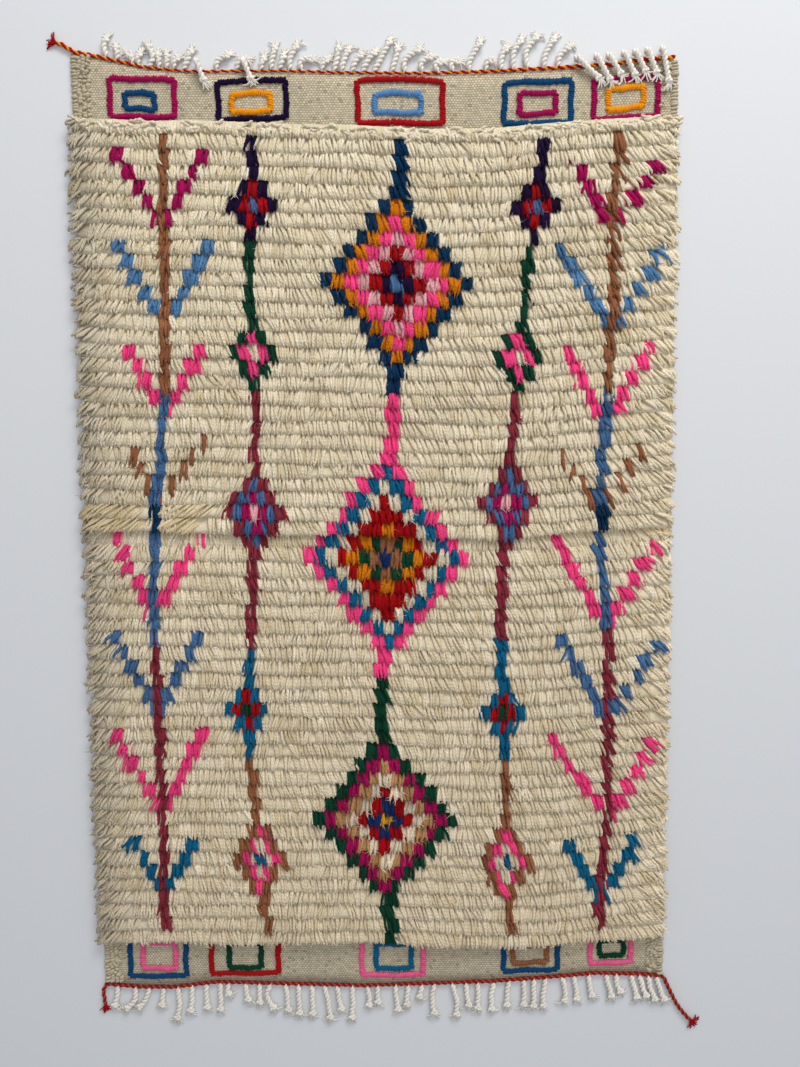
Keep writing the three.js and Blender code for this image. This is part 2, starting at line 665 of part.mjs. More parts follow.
addPiece(
  "twined_cord_upper",
  twineGeometry("upperEnd", 1, UPPER_STITCHES, upperLeftTail, []),
  COLOURS.redOrange,
  0.85,
);
addPiece(
  "twined_cord_lower",
  twineGeometry("lowerEnd", -1, LOWER_STITCHES, lowerLeftTail, lowerRightTail),
  COLOURS.redTan,
  0.85,
);

// Fringes
const upperFringe = fringeGeometry("upperEnd", 1, UPPER_FRINGE, FOLDED_STRANDS);
const lowerFringe = fringeGeometry("lowerEnd", -1, LOWER_FRINGE, []);
addPiece("fringe_upper", upperFringe, COLOURS.warp, 0.9);
addPiece("fringe_lower", lowerFringe, COLOURS.warp, 0.9);

// Worked yarn rectangles
RECTANGLES.forEach((box, i) => {
  addPiece(`rectangle_${box.name}`, rectangleGeometry(box, i), COLOURS[box.yarn], 0.85);
});

rug.position.set(-PIECE_MIDDLE.across, -PIECE_MIDDLE.along, 0);

export default rug;
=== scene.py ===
# Shag wool rug with coloured diamonds and branches: the looks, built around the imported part.
import math

import bpy
import numpy as np
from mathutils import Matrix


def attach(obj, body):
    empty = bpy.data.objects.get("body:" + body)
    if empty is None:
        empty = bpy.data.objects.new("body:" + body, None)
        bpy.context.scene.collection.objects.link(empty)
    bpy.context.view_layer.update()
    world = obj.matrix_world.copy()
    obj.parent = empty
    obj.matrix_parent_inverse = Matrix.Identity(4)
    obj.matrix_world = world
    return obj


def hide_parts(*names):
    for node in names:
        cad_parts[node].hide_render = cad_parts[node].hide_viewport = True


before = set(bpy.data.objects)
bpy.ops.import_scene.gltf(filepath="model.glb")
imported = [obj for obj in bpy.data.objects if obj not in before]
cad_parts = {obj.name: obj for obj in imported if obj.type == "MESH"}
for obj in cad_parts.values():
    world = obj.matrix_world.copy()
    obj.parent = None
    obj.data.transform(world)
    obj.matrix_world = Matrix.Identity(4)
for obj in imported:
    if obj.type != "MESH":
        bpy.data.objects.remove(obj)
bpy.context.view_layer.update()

MM = 0.001
# The tables below are in millimetres from the middle of the weave. The row's origin is here:
ROW_ORIGIN = np.array([17.0, -4.0, 0.0])
BODY = "root"
draw = np.random.default_rng(58)

# ---------------------------------------------------------------- camera

CAMERA = {"across": 35.8, "along": 130.7, "height": 1354.0, "lens": 27.06}
CAMERA_PITCH = math.radians(-4.4)
CAMERA_ROLL = math.radians(-0.467)


def to_row(points):
    """Millimetres from the middle of the weave to metres in the row's frame."""
    return (np.asarray(points, dtype=float) - ROW_ORIGIN) * MM


def placed(name, data):
    """A new object in the scene that shows a mesh, a lamp or a camera."""
    made = bpy.data.objects.new(name, data)
    bpy.context.scene.collection.objects.link(made)
    return made


eye = bpy.data.cameras.new("camera")
eye.lens = CAMERA["lens"]
eye.sensor_fit = "AUTO"
eye.sensor_width = 36.0
eye.clip_end = 50.0
camera = placed("camera", eye)
camera.location = to_row([CAMERA["across"], CAMERA["along"], CAMERA["height"]])
camera.rotation_euler = (CAMERA_PITCH, 0.0, CAMERA_ROLL)
bpy.context.scene.camera = camera

# ---------------------------------------------------------------- sizes

HALF_WIDTH = 490.0
CLOTH_THICK = 4.0
OUTLINE_COLUMNS = ("across", "upper_end", "pile_top", "pile_foot", "lower_end")
OUTLINE = np.array(
    [
        (-490, 808, 706, -690, -762),
        (-430, 796, 704, -687, -768),
        (-371, 783, 700, -686, -769),
        (-295, 776, 701, -688, -760),
        (-150, 776, 694, -690, -765),
        (-35, 772, 691, -690, -769),
        (80, 770, 684, -695, -766),
        (190, 772, 684, -699, -763),
        (290, 776, 692, -699, -756),
        (375, 780, 697, -689, -749),
        (445, 788, 700, -685, -751),
        (490, 791, 701, -683, -755),
    ],
    dtype=float,
)


def outline(line, across):
    """Where one of the outline's lines is along the rug, at places across it."""
    return np.interp(across, OUTLINE[:, 0], OUTLINE[:, OUTLINE_COLUMNS.index(line)])


# ---------------------------------------------------------------- colours

DYES = {
    "cream": "ded1b4",
    "cream_light": "ece1c8",
    "cream_dark": "cdbc97",
    "pale_cream": "d3c6ad",
    "off_white": "e9e3d8",
    "band": "bbaf95",
    "hot_pink": "ec4380",
    "rose_pink": "e2608c",
    "pale_pink": "d8a2a2",
    "magenta": "9c0a4e",
    "deep_teal": "052e4c",
    "band_blue": "0b4470",
    "light_blue": "5786b6",
    "dusty_blue": "507aa2",
    "steel_blue": "45688f",
    "navy": "0e2d5c",
    "grey_blue": "4a5f86",
    "red": "9a060c",
    "band_red": "a50c14",
    "orange": "c87409",
    "amber": "e9940e",
    "yellow": "c99416",
    "purple": "19082c",
    "green": "073b27",
    "maroon": "822b37",
    "teal": "085d81",
    "tan": "8e5b3c",
    "pale_tan": "b1865a",
    "cord_tan": "7d5c3c",
}


def linear(code):
    """A colour written as six hex digits, as Blender's linear values."""
    parts = np.array([int(code[i : i + 2], 16) for i in (0, 2, 4)]) / 255.0
    return np.where(parts <= 0.04045, parts / 12.92, ((parts + 0.055) / 1.055) ** 2.4)


COLOUR = {name: linear(code) for name, code in DYES.items()}

# ---------------------------------------------------------------- node helpers


class Value:
    """What a node gives. Sums and products of it add maths nodes."""

    def __init__(self, wires, socket):
        self.wires, self.socket = wires, socket

    def __add__(self, other):
        return self.wires.math("ADD", self, other)

    def __sub__(self, other):
        return self.wires.math("SUBTRACT", self, other)

    def __rsub__(self, other):
        return self.wires.math("SUBTRACT", other, self)

    def __mul__(self, other):
        return self.wires.math("MULTIPLY", self, other)

    def __truediv__(self, other):
        return self.wires.math("DIVIDE", self, other)

    __radd__, __rmul__ = __add__, __mul__


class Wiring:
    """Adds nodes to one tree, fed with plain values or with what other nodes give."""

    def __init__(self, tree):
        self.tree = tree

    def add(self, kind, feeds=(), **settings):
        """A new node. feeds are its inputs' values, in order or by name."""
        node = self.tree.nodes.new(kind)
        for name, value in settings.items():
            setattr(node, name, value)
        shown = [socket for socket in node.inputs if socket.enabled]
        by_name = {socket.name: socket for socket in reversed(shown)}
        pairs = feeds.items() if isinstance(feeds, dict) else zip(range(len(shown)), feeds)
        for key, value in pairs:
            self.feed(by_name[key] if isinstance(key, str) else shown[key], value)
        return node

    def feed(self, socket, value):
        if isinstance(value, Value):
            self.tree.links.new(value.socket, socket)
        elif value is not None:
            socket.default_value = value

    def give(self, node, output=None):
        """One of a node's outputs, the first that shows unless it is named."""
        if output is None:
            return Value(self, next(socket for socket in node.outputs if socket.enabled))
        return Value(self, node.outputs[output])

    def value(self, kind, feeds=(), output=None, **settings):
        return self.give(self.add(kind, feeds, **settings), output)

    def math(self, operation, *feeds):
        return self.value("ShaderNodeMath", feeds, operation=operation)

    def vector(self, operation, *feeds):
        return self.value("ShaderNodeVectorMath", feeds, operation=operation)

    def scaled(self, vector, factor):
        feeds = {"Vector": vector, "Scale": factor}
        return self.value("ShaderNodeVectorMath", feeds, operation="SCALE")

    def combined(self, *parts):
        return self.value("ShaderNodeCombineXYZ", parts)

    def ranged(self, value, low, high, to_low, to_high):
        """A value whose range from low to high is made to run from to_low to to_high."""
        names = ("Value", "From Min", "From Max", "To Min", "To Max")
        feeds = dict(zip(names, (value, low, high, to_low, to_high)))
        return self.value("ShaderNodeMapRange", feeds)

    def noise(self, place, scale, detail, roughness=0.5, output=0):
        feeds = {"Vector": place, "Scale": scale, "Detail": detail, "Roughness": roughness}
        return self.value("ShaderNodeTexNoise", feeds, output)

    def named(self, name, kind="FLOAT"):
        """An attribute of the geometry."""
        return self.value("GeometryNodeInputNamedAttribute", [name], data_type=kind)


def new_tree(kind, name, takes, gives):
    """An empty node tree. takes and gives are its sockets, as (name, kind, default)."""
    tree = bpy.data.node_groups.new(name, kind)
    for way, sockets in (("INPUT", takes), ("OUTPUT", gives)):
        for label, sort, *default in sockets:
            made = tree.interface.new_socket(label, in_out=way, socket_type="NodeSocket" + sort)
            if default:
                made.default_value = default[0]
    wires = Wiring(tree)
    given = {socket.name: Value(wires, socket) for socket in wires.add("NodeGroupInput").outputs}
    return tree, wires, given


# ---------------------------------------------------------------- mesh helpers

STORED = {1: ("FLOAT", "value"), 3: ("FLOAT_VECTOR", "vector"), 4: ("FLOAT_COLOR", "color")}


def store(mesh, name, values, domain="POINT"):
    """Keeps numbers, vectors or colours on a mesh, one for each point or corner."""
    values = np.asarray(values, dtype=np.float32)
    kind, field = STORED[values.shape[1] if values.ndim > 1 else 1]
    mesh.attributes.new(name, kind, domain).data.foreach_set(field, values.ravel())


def new_mesh(name, points, edges=(), faces=()):
    """A mesh from places in millimetres from the middle of the weave."""
    mesh = bpy.data.meshes.new(name)
    mesh.from_pydata(to_row(points).tolist(), list(edges), np.asarray(faces).tolist())
    return mesh


def grid(rows, columns):
    """A grid of points: its numbering, and the quads between them."""
    index = np.arange(rows * columns).reshape(rows, columns)
    corners = (index[:-1, :-1], index[1:, :-1], index[1:, 1:], index[:-1, 1:])
    return index, np.stack(corners, -1).reshape(-1, 4)


def grown(name, tree, points, edges=(), attributes=None, **values):
    """Runs a geometry tree on points or paths and keeps what it makes as a plain mesh."""
    bare = new_mesh(name + "_source", points, edges)
    for label, kept in (attributes or {}).items():
        store(bare, label, kept)
    source = placed(name + "_source", bare)
    modifier = source.modifiers.new(name, "NODES")
    modifier.node_group = tree
    for item in tree.interface.items_tree:
        label = item.name.replace(" ", "_").lower()
        if item.in_out == "INPUT" and label in values:
            modifier[item.identifier] = values[label]
    graph = bpy.context.evaluated_depsgraph_get()
    mesh = bpy.data.meshes.new_from_object(
        source.evaluated_get(graph), preserve_all_data_layers=True, depsgraph=graph
    )
    bpy.data.objects.remove(source)
    bpy.data.meshes.remove(bare)
    mesh.name = name
    return placed(name, mesh)


# ---------------------------------------------------------------- finishes

FINISH = [("Colour", "Color"), ("Roughness", "Float"), ("Normal", "Vector")]


def fibre_group():
    """Wool fibres: streaks that wind along a yarn, with the tone's slow drift, painted shade in the
    grooves between ply ridges, and a fine relief.
    """
    tree, wires, given = new_tree(
        "ShaderNodeTree",
        "wool_fibres",
        [
            ("Colour", "Color"),
            ("Fibre Length", "Float", 9.0),
            ("Fibre Count", "Float", 7.0),
            ("Winding", "Float", 0.12),
            ("Streaks", "Float", 0.3),
            ("Relief", "Float", 0.5),
            ("Ply Ridges", "Float", 0.0),
        ],
        FINISH,
    )
    mapped = wires.value("ShaderNodeUVMap", uv_map="along_yarn")
    apart = wires.add("ShaderNodeSeparateXYZ", [mapped])
    along, around = wires.give(apart, 0), wires.give(apart, 1)
    circle = (around + along * given["Winding"]) * (2 * math.pi)
    width = given["Fibre Count"] * 0.16
    spread = [wires.math(turn, circle) * width for turn in ("COSINE", "SINE")]
    object_place = wires.value("ShaderNodeTexCoord", output="Object")
    place = wires.combined(*spread, along / given["Fibre Length"])
    own_place = wires.vector("ADD", place, wires.scaled(object_place, 60.0))
    streaks = wires.noise(own_place, 2.4, 3.0, 0.6)
    light = wires.ranged(streaks, 0.3, 0.72, -1.0, 1.0)
    slow = wires.ranged(wires.noise(object_place, 38.0, 2.0), 0.3, 0.7, -0.3, 0.3)
    ridge = wires.math("COSINE", circle * 2.0) * given["Ply Ridges"]
    # Painted shade: the ply ridges are lighter and the grooves between them darker, on top of the
    # streaks' and the slow drift's tone
    gain = (light + slow + ridge * 0.6) * given["Streaks"] + 1.0
    toned = wires.scaled(given["Colour"], gain)
    rough = wires.ranged(streaks, 0.3, 0.7, 0.95, 0.78)
    bumps = {"Strength": given["Relief"], "Distance": 0.0011, "Height": streaks + ridge * 0.5}
    wires.add("NodeGroupOutput", [toned, rough, wires.value("ShaderNodeBump", bumps)])
    return tree


def weave_group():
    """Plain weave: beads of warp and weft in a brick order, each in its own tone, some dark, and
    each with painted shade towards its rim.
    """
    tree, wires, given = new_tree(
        "ShaderNodeTree",
        "plain_weave",
        [("Colour", "Color"), ("Warp Pitch", "Float", 0.005), ("Weft Pitch", "Float", 0.0037)],
        FINISH,
    )
    place = wires.value("ShaderNodeTexCoord", output="Object")
    clouds = wires.noise(place, 25.0, 2.0, output="Color")
    wobble = wires.vector("SUBTRACT", clouds, (0.5, 0.5, 0.5))
    wobbled = wires.vector("ADD", place, wires.scaled(wobble, 0.006))
    apart = wires.add("ShaderNodeSeparateXYZ", [wobbled])
    along = wires.give(apart, 1) / given["Weft Pitch"]
    row = wires.math("FLOOR", along)
    column = wires.give(apart, 0) / given["Warp Pitch"] + wires.math("MODULO", row, 2.0) * 0.5
    wide, long = (wires.math("FRACT", value) - 0.5 for value in (column, along))
    bead = 1.0 - (wide * wide + long * long) * 3.4
    cell = wires.combined(wires.math("FLOOR", column), row)
    tone = wires.value("ShaderNodeTexWhiteNoise", [cell], noise_dimensions="2D")
    speck = wires.math("LESS_THAN", tone, 0.035)
    # Painted shade: each bead is darker towards its rim, where the gaps between the yarns lie; its
    # own tone and the dark specks are its colour
    bead_shade_and_tone = wires.ranged(bead, 0.15, 0.7, 0.62, 1.12) * (tone * 0.3 + 0.86) - speck * 0.2
    slow = wires.noise(place, 9.0, 3.0) * 0.3 + 0.85
    toned = wires.scaled(given["Colour"], bead_shade_and_tone * slow)
    fluff = wires.noise(place, 900.0, 3.0)
    bumps = {"Strength": 0.5, "Distance": 0.0009, "Height": bead + fluff * 0.5}
    wires.add("NodeGroupOutput", [toned, fluff * 0.1 + 0.85, wires.value("ShaderNodeBump", bumps)])
    return tree


FIBRES = fibre_group()
WEAVE = weave_group()


def new_material(name, roughness=0.85, sheen=0.03):
    """A material with its shader, and the wiring to feed it."""
    material = bpy.data.materials.new(name)
    material.use_nodes = True
    material.node_tree.nodes.clear()
    wires = Wiring(material.node_tree)
    settings = {"Roughness": roughness, "Sheen Weight": sheen, "Sheen Roughness": 0.5}
    shader = wires.add("ShaderNodeBsdfPrincipled", {**settings, "Specular IOR Level": 0.08})
    wires.add("ShaderNodeOutputMaterial", [wires.give(shader)])
    return material, wires, shader


def cloth(name, group, dye, **values):
    """A material with a group's finish. dye is one dye, two for a yarn's plies, or an attribute."""
    material, wires, shader = new_material(name)
    if isinstance(dye, tuple):
        first, second = ((*COLOUR[ply], 1.0) for ply in dye)
        ply = wires.value("ShaderNodeAttribute", output="Fac", attribute_name="ply")
        feeds = {"Factor": ply, "A": first, "B": second}
        colour = wires.value("ShaderNodeMix", feeds, 2, data_type="RGBA")
    elif dye in COLOUR:
        colour = (*COLOUR[dye], 1.0)
    else:
        colour = wires.value("ShaderNodeAttribute", attribute_name=dye)
    finish = wires.add("ShaderNodeGroup", node_tree=group)
    wires.feed(finish.inputs["Colour"], colour)
    for label, value in values.items():
        wires.feed(finish.inputs[label.replace("_", " ").title()], value)
    for label, source in zip(("Base Color", "Roughness", "Normal"), FINISH):
        wires.feed(shader.inputs[label], wires.give(finish, source[0]))
    return material


def wool(name, dye, **values):
    return cloth(name, FIBRES, dye, **values)


# ---------------------------------------------------------------- yarn growing trees

MM_PER_M = 1000.0


def yarn_tree(name, *takes):
    """An empty geometry tree for yarns, with its own inputs and the yarn's material."""
    takes = [*takes, ("Material", "Material")]
    return new_tree("GeometryNodeTree", name, takes, [("Geometry", "Geometry")])


def carried(wires, geometry, value):
    """A geometry that takes a value along, and the value as it arrives."""
    node = wires.add("GeometryNodeCaptureAttribute", domain="POINT")
    node.capture_items.new("FLOAT", "carried")
    wires.feed(node.inputs[0], geometry)
    wires.feed(node.inputs[1], value)
    return wires.give(node, 0), wires.give(node, 1)


def end_in_yarns(wires, curves, radius, sides, girth, material):
    """Ends a tree with round yarns. Each corner keeps how far along and around its yarn it is."""
    length = wires.value("GeometryNodeSplineParameter", output="Length")
    curves, along = carried(wires, curves, length * MM_PER_M)
    ring = wires.value("GeometryNodeCurvePrimitiveCircle", {"Resolution": sides, "Radius": radius})
    share = wires.value("GeometryNodeSplineParameter", output="Factor")
    ring, around = carried(wires, ring, share)
    tube = {"Curve": curves, "Profile Curve": ring, "Scale": girth, "Fill Caps": True}
    tube = wires.value("GeometryNodeCurveToMesh", tube)
    mapped = {"Geometry": tube, "Name": "along_yarn", "Value": wires.combined(along, around)}
    mapped = wires.value(
        "GeometryNodeStoreNamedAttribute", mapped, data_type="FLOAT2", domain="CORNER"
    )
    smooth = {"Geometry": mapped, "Shade Smooth": True}
    real = wires.value(
        "GeometryNodeRealizeInstances", [wires.value("GeometryNodeSetShadeSmooth", smooth)]
    )
    dressed = wires.value("GeometryNodeSetMaterial", {"Geometry": real, "Material": material})
    wires.add("NodeGroupOutput", [dressed])


def upright_lines(wires, places, count):
    """A line of a few points at each place, to bend, and how far up it each point is."""
    line = wires.value("GeometryNodeCurvePrimitiveLine", {"Start": (0, 0, 0), "End": (0, 0, 1)})
    stepped = wires.value("GeometryNodeResampleCurve", {"Curve": line, "Count": count})
    on_places = {"Points": places, "Instance": stepped}
    on_places = wires.value("GeometryNodeInstanceOnPoints", on_places)
    real = wires.value("GeometryNodeRealizeInstances", [on_places])
    return real, wires.value("GeometryNodeSplineParameter", output="Factor")


def bend(wires, curves, *moves):
    """Moves the points of some curves by a sum of vectors."""
    total = moves[0]
    for move in moves[1:]:
        total = wires.vector("ADD", total, move)
    return wires.value("GeometryNodeSetPosition", {"Geometry": curves, "Offset": total})


def shape_curve(wires, value, points):
    """A drawn curve of one value. points are (from, to) pairs, the two ends first."""
    node = wires.add("ShaderNodeFloatCurve", {"Value": value})
    line = node.mapping.curves[0]
    for end, place in zip(line.points, points):
        end.location = place
    for place in points[2:]:
        line.points.new(*place)
    node.mapping.update()
    return wires.give(node)


YARN_LIFT = [(0, 0), (1, 0.82), (0.25, 0.42), (0.5, 0.76), (0.75, 0.97), (0.92, 0.99)]
YARN_BODY = [(0, 0.85), (1, 0.42), (0.3, 0.97), (0.75, 1.0), (0.93, 0.84)]


def pile_tree():
    """Cut yarns of the pile. Each point is a root with reach, sway, phase and girth."""
    tree, wires, given = yarn_tree(
        "pile_yarns",
        ("Roots", "Geometry"),
        ("Steps", "Int", 5),
        ("Sides", "Int", 5),
        ("Yarn Radius", "Float", 0.0028),
    )
    lines, share = upright_lines(wires, given["Roots"], given["Steps"])
    # Steps lie closer together towards the tip, to round it
    down = 1.0 - wires.math("POWER", 1.0 - share, 1.6)
    reach = wires.named("reach", "FLOAT_VECTOR")
    flat = wires.vector("MULTIPLY", reach, (1, 1, 0))
    rise = wires.value("ShaderNodeSeparateXYZ", [reach], 2)
    up = wires.combined(None, None, rise * shape_curve(wires, down, YARN_LIFT) - share)
    wave = wires.math("SINE", down * 6.5 + wires.named("phase"))
    swing = wave * wires.named("sway") * down
    sideways = wires.vector("NORMALIZE", wires.vector("CROSS_PRODUCT", flat, (0, 0, 1)))
    bent = bend(wires, lines, wires.scaled(flat, down), wires.scaled(sideways, swing), up)
    girth = shape_curve(wires, down, YARN_BODY) * wires.named("girth")
    end_in_yarns(wires, bent, given["Yarn Radius"], given["Sides"], girth, given["Material"])
    return tree


def plied_tree():
    """Yarns twisted round a path. Each point of the path has girth, for knots and thin ends."""
    tree, wires, given = yarn_tree(
        "plied_yarns",
        ("Paths", "Geometry"),
        ("Plies", "Int", 2),
        ("Pitch", "Float", 0.012),
        ("Lay Radius", "Float", 0.002),
        ("Ply Radius", "Float", 0.0022),
        ("Second Ply", "Float", 1.0),
        ("Spacing", "Float", 0.002),
        ("Sides", "Int", 6),
    )
    curve = wires.value("GeometryNodeMeshToCurve", [given["Paths"]])
    upright = wires.value("GeometryNodeSetCurveNormal", {"Curve": curve}, mode="MINIMUM_TWIST")
    even = {"Curve": upright, "Length": given["Spacing"]}
    even = wires.value("GeometryNodeResampleCurve", even, mode="LENGTH")
    many = {"Geometry": even, "Amount": given["Plies"]}
    many = wires.add("GeometryNodeDuplicateElements", many, domain="SPLINE")
    labelled = {
        "Geometry": wires.give(many, 0),
        "Name": "ply",
        "Value": wires.give(many, "Duplicate Index"),
    }
    labelled = wires.value(
        "GeometryNodeStoreNamedAttribute", labelled, data_type="FLOAT", domain="CURVE"
    )
    ply, thick = wires.named("ply"), wires.named("girth")
    length = wires.value("GeometryNodeSplineParameter", output="Length")
    angle = (length / given["Pitch"] + ply / given["Plies"]) * (2 * math.pi)
    lay = given["Lay Radius"] * thick
    normal = wires.value("GeometryNodeInputNormal")
    across = wires.vector("CROSS_PRODUCT", wires.value("GeometryNodeInputTangent"), normal)
    wound = bend(
        wires,
        labelled,
        wires.scaled(normal, wires.math("COSINE", angle) * lay),
        wires.scaled(across, wires.math("SINE", angle) * lay),
    )
    girth = thick * (ply * (given["Second Ply"] - 1.0) + 1.0)
    end_in_yarns(wires, wound, given["Ply Radius"], given["Sides"], girth, given["Material"])
    return tree


def stitch_tree():
    """Arched stitches side by side. Each point has its stitch's direction across the line."""
    tree, wires, given = yarn_tree(
        "slanting_stitches",
        ("Places", "Geometry"),
        ("Steps", "Int", 5),
        ("Sides", "Int", 6),
        ("Stitch Radius", "Float", 0.0015),
        ("Half Width", "Float", 0.0031),
        ("Rise", "Float", 0.0021),
    )
    lines, share = upright_lines(wires, given["Places"], given["Steps"])
    centred = share * 2.0 - 1.0
    girth = wires.named("girth")
    across = wires.scaled(wires.named("across_line", "FLOAT_VECTOR"), centred * given["Half Width"])
    height = (1.0 - centred * centred) * given["Rise"] * girth
    bent = bend(wires, lines, across, wires.combined(None, None, height - share))
    end_in_yarns(wires, bent, given["Stitch Radius"], given["Sides"], girth, given["Material"])
    return tree


PILE_TREE = pile_tree()
PLIED_TREE = plied_tree()
STITCH_TREE = stitch_tree()

# ---------------------------------------------------------------- the pattern

ROWS = 58


def stem(*points):
    """A stem's way down the rug as (across, along) places, from its upper end."""
    places = np.array(points, dtype=float)
    return places[::-1, 1], places[::-1, 0]


STEMS = [
    stem((-346, 667), (-345, 496), (-351, 279), (-360, 170), (-375, 53), (-383, -139), (-378, -255),
         (-379, -413), (-376, -539), (-380, -665)),
    stem((-200, 665), (-200, 590), (-203, 511), (-209, 476), (-207, 350), (-201, 260), (-206, 119),
         (-208, 10), (-218, -152), (-227, -256), (-223, -362), (-215, -486), (-207, -576),
         (-202, -667)),
    stem((40, 664), (39, 565), (27, 274), (21, 159), (4, -172), (2, -223), (1, -328), (12, -596),
         (13, -678)),
    stem((271, 656), (264, 571), (249, 472), (236, 362), (229, 265), (220, 116), (208, -19),
         (204, -173), (207, -260), (212, -365), (211, -490), (215, -579), (222, -670)),
    stem((394, 661), (385, 570), (387, 410), (379, 247), (370, 131), (372, -20), (384, -157),
         (389, -296), (387, -437), (381, -563), (379, -672)),
]


def stem_across(number, along):
    return np.interp(along, *STEMS[number])


# What each stem is dyed, from its upper end down to the place named along the rug
SIDE_STEM = [
    (265, "tan"), (80, "steel_blue"), (32, "deep_teal"), (-148, "steel_blue"), (-672, "maroon"),
]
MIDDLE_STEM = [(495, "purple"), (258, "green"), (-152, "maroon"), (-362, "teal"), (-670, "tan")]
CENTRE_STEM = [(263, "deep_teal"), (-220, "hot_pink"), (-682, "green")]
STEM_DYES = [SIDE_STEM, MIDDLE_STEM, CENTRE_STEM, MIDDLE_STEM, SIDE_STEM]
STEM_HALF = [7.5, 7.5, 10.5, 7.5, 7.5]
STEM_TOP = 668.0

# Diamonds: stem, middle along the rug, width of one knot's step, rows out, how many rings each row
# counts for near the middle, and the dyes from the middle out
DIAMONDS = [
    (2, 435, 18.8, 6, 1.0,
     ["steel_blue", "purple", "red", "pale_pink", "hot_pink", "orange", "deep_teal"]),
    (2, -4, 18.4, 7, 1.4,
     ["navy", "tan", "green", "orange", "red", "pale_cream", "teal", "hot_pink"]),
    (2, -459, 18.8, 6, 1.0,
     ["yellow", "navy", "red", "pale_cream", "pale_tan", "magenta", "green"]),
]
# The small diamonds of the stems on either side: both middles along the rug, then as above
for left, right, *sizes in [
    (556, 547, 15.4, 2, 1.0, ["grey_blue", "red", "purple"]),
    (317, 310, 15.4, 2, 1.0, ["pale_cream", "hot_pink", "green"]),
    (69, 69, 14.4, 3, 1.0, ["pale_pink", "magenta", "steel_blue", "maroon"]),
    (-270, -281, 14.4, 2, 1.0, ["green", "red", "teal"]),
    (-540, -552, 12.6, 2, 1.0, ["teal", "pale_cream", "hot_pink", "tan"]),
]:
    DIAMONDS += [(1, left, *sizes), (3, right, *sizes)]

# Branches: stem, left tip, right tip (across, along), where they meet the stem, and the dye
BRANCHES = [
    (0, (-415, 639), (-288, 635), 547, "magenta"),
    (0, (-424, 504), (-277, 495), 390, "dusty_blue"),
    (0, (-412, 340), (-286, 339), 244, "hot_pink"),
    (0, (-411, 178), (-297, 178), 86, "tan"),
    (0, (-441, 20), (-307, 10), -91, "hot_pink"),
    (0, (-451, -147), (-311, -148), -258, "steel_blue"),
    (0, (-455, -310), (-305, -313), -431, "hot_pink"),
    (0, (-437, -493), (-319, -495), -578, "teal"),
    (4, (324, 625), (455, 624), 536, "magenta"),
    (4, (304, 482), (471, 489), 377, "dusty_blue"),
    (4, (310, 332), (450, 336), 220, "hot_pink"),
    (4, (298, 168), (443, 175), 72, "tan"),
    (4, (304, 2), (464, 4), -114, "hot_pink"),
    (4, (310, -165), (467, -166), -278, "steel_blue"),
    (4, (298, -334), (464, -335), -451, "hot_pink"),
    (4, (316, -504), (439, -502), -597, "teal"),
]
# Half a branch's width and how far beside its stem it ends, and the same for the thin tan ones
BRANCH_WIDTHS = (9.5, 9.0)
THIN_WIDTHS = (5.0, 5.0)


def ring_of(across, row, diamond):
    """Which ring of a stepped diamond a knot is in, counted from the middle, or -1 outside it."""
    number, middle, step, reach, squeeze, dyes = diamond
    centre = stem_across(number, middle)
    top, foot = outline("pile_top", centre), outline("pile_foot", centre)
    middle_row = round(float((top - middle) / (top - foot) * ROWS - 0.5))
    rows_out = np.abs(row - middle_row)
    columns_out = np.abs(np.round((across - centre) / step))
    inner = np.minimum(np.round(columns_out + squeeze * rows_out), 4)
    ring = np.where(columns_out + rows_out < 4, inner, columns_out + rows_out).astype(int)
    return np.where((ring < len(dyes)) & (rows_out <= reach), ring, -1)


ROW_SHIFT = draw.normal(0, 1.2, ROWS + 1)


def dye_names(across, along, row):
    """The dye of each yarn by where it shows: along is the middle of the part that shows."""
    across = across + ROW_SHIFT[row.astype(int)]
    dyes = np.full(across.shape, "cream", dtype=object)
    for number, left, right, meets, dye in BRANCHES:
        half, beside = THIN_WIDTHS if dye == "tan" else BRANCH_WIDTHS
        for tip, side in ((left, -1), (right, 1)):
            foot = stem_across(number, meets) + side * beside
            share = (tip[1] - along) / (tip[1] - meets)
            arm = tip[0] + (foot - tip[0]) * share
            dyes[(np.abs(across - arm) < half) & (share > -0.1) & (share < 1.08)] = dye
    for number, spans in enumerate(STEM_DYES):
        on_stem = np.abs(across - stem_across(number, along)) < STEM_HALF[number]
        upper = STEM_TOP
        for lower, dye in spans:
            dyes[on_stem & (along <= upper) & (along > lower)] = dye
            upper = lower
    for diamond in DIAMONDS:
        ring = ring_of(across, row, diamond)
        for place, dye in enumerate(diamond[-1]):
            dyes[ring == place] = dye
    return dyes


# ---------------------------------------------------------------- the pile

YARN_PITCH = 4.75
KNOT_WIDTH = 20.0
KNOTS = 49
# How far behind the row's own line a yarn starts, under the row above it
TUCKED = 9.0
TUCKED_FIRST = -2.0
ROOT_HEIGHT = 8.0
YARN_RISE = 10.4
YARN_SWAY = (1.5, 0.4)
# How much less far the right side's yarns stick out than the left side's
SHORT_RIGHT = 9.0
CREASE_ROW = 28
CREASE_ROWS = 2
CREASE_END = -275
CREASE_LIFTS = {26: 1.5, 27: 3.4, 28: -3.0, 29: -1.0}
CREASE_DROP = 3.0


def tip_line(row, across):
    """Where the tips of a row lie along the rug; row -1 is the pile's upper edge."""
    top, foot = outline("pile_top", across), outline("pile_foot", across)
    return top + (foot - top) * (row + 1) / ROWS


def row_waves(row, across):
    """Slow unevenness of a row's tips."""
    return 2.0 * np.sin(across / 61 + row * 1.7) + 1.4 * np.sin(across / 27 + row * 2.9)


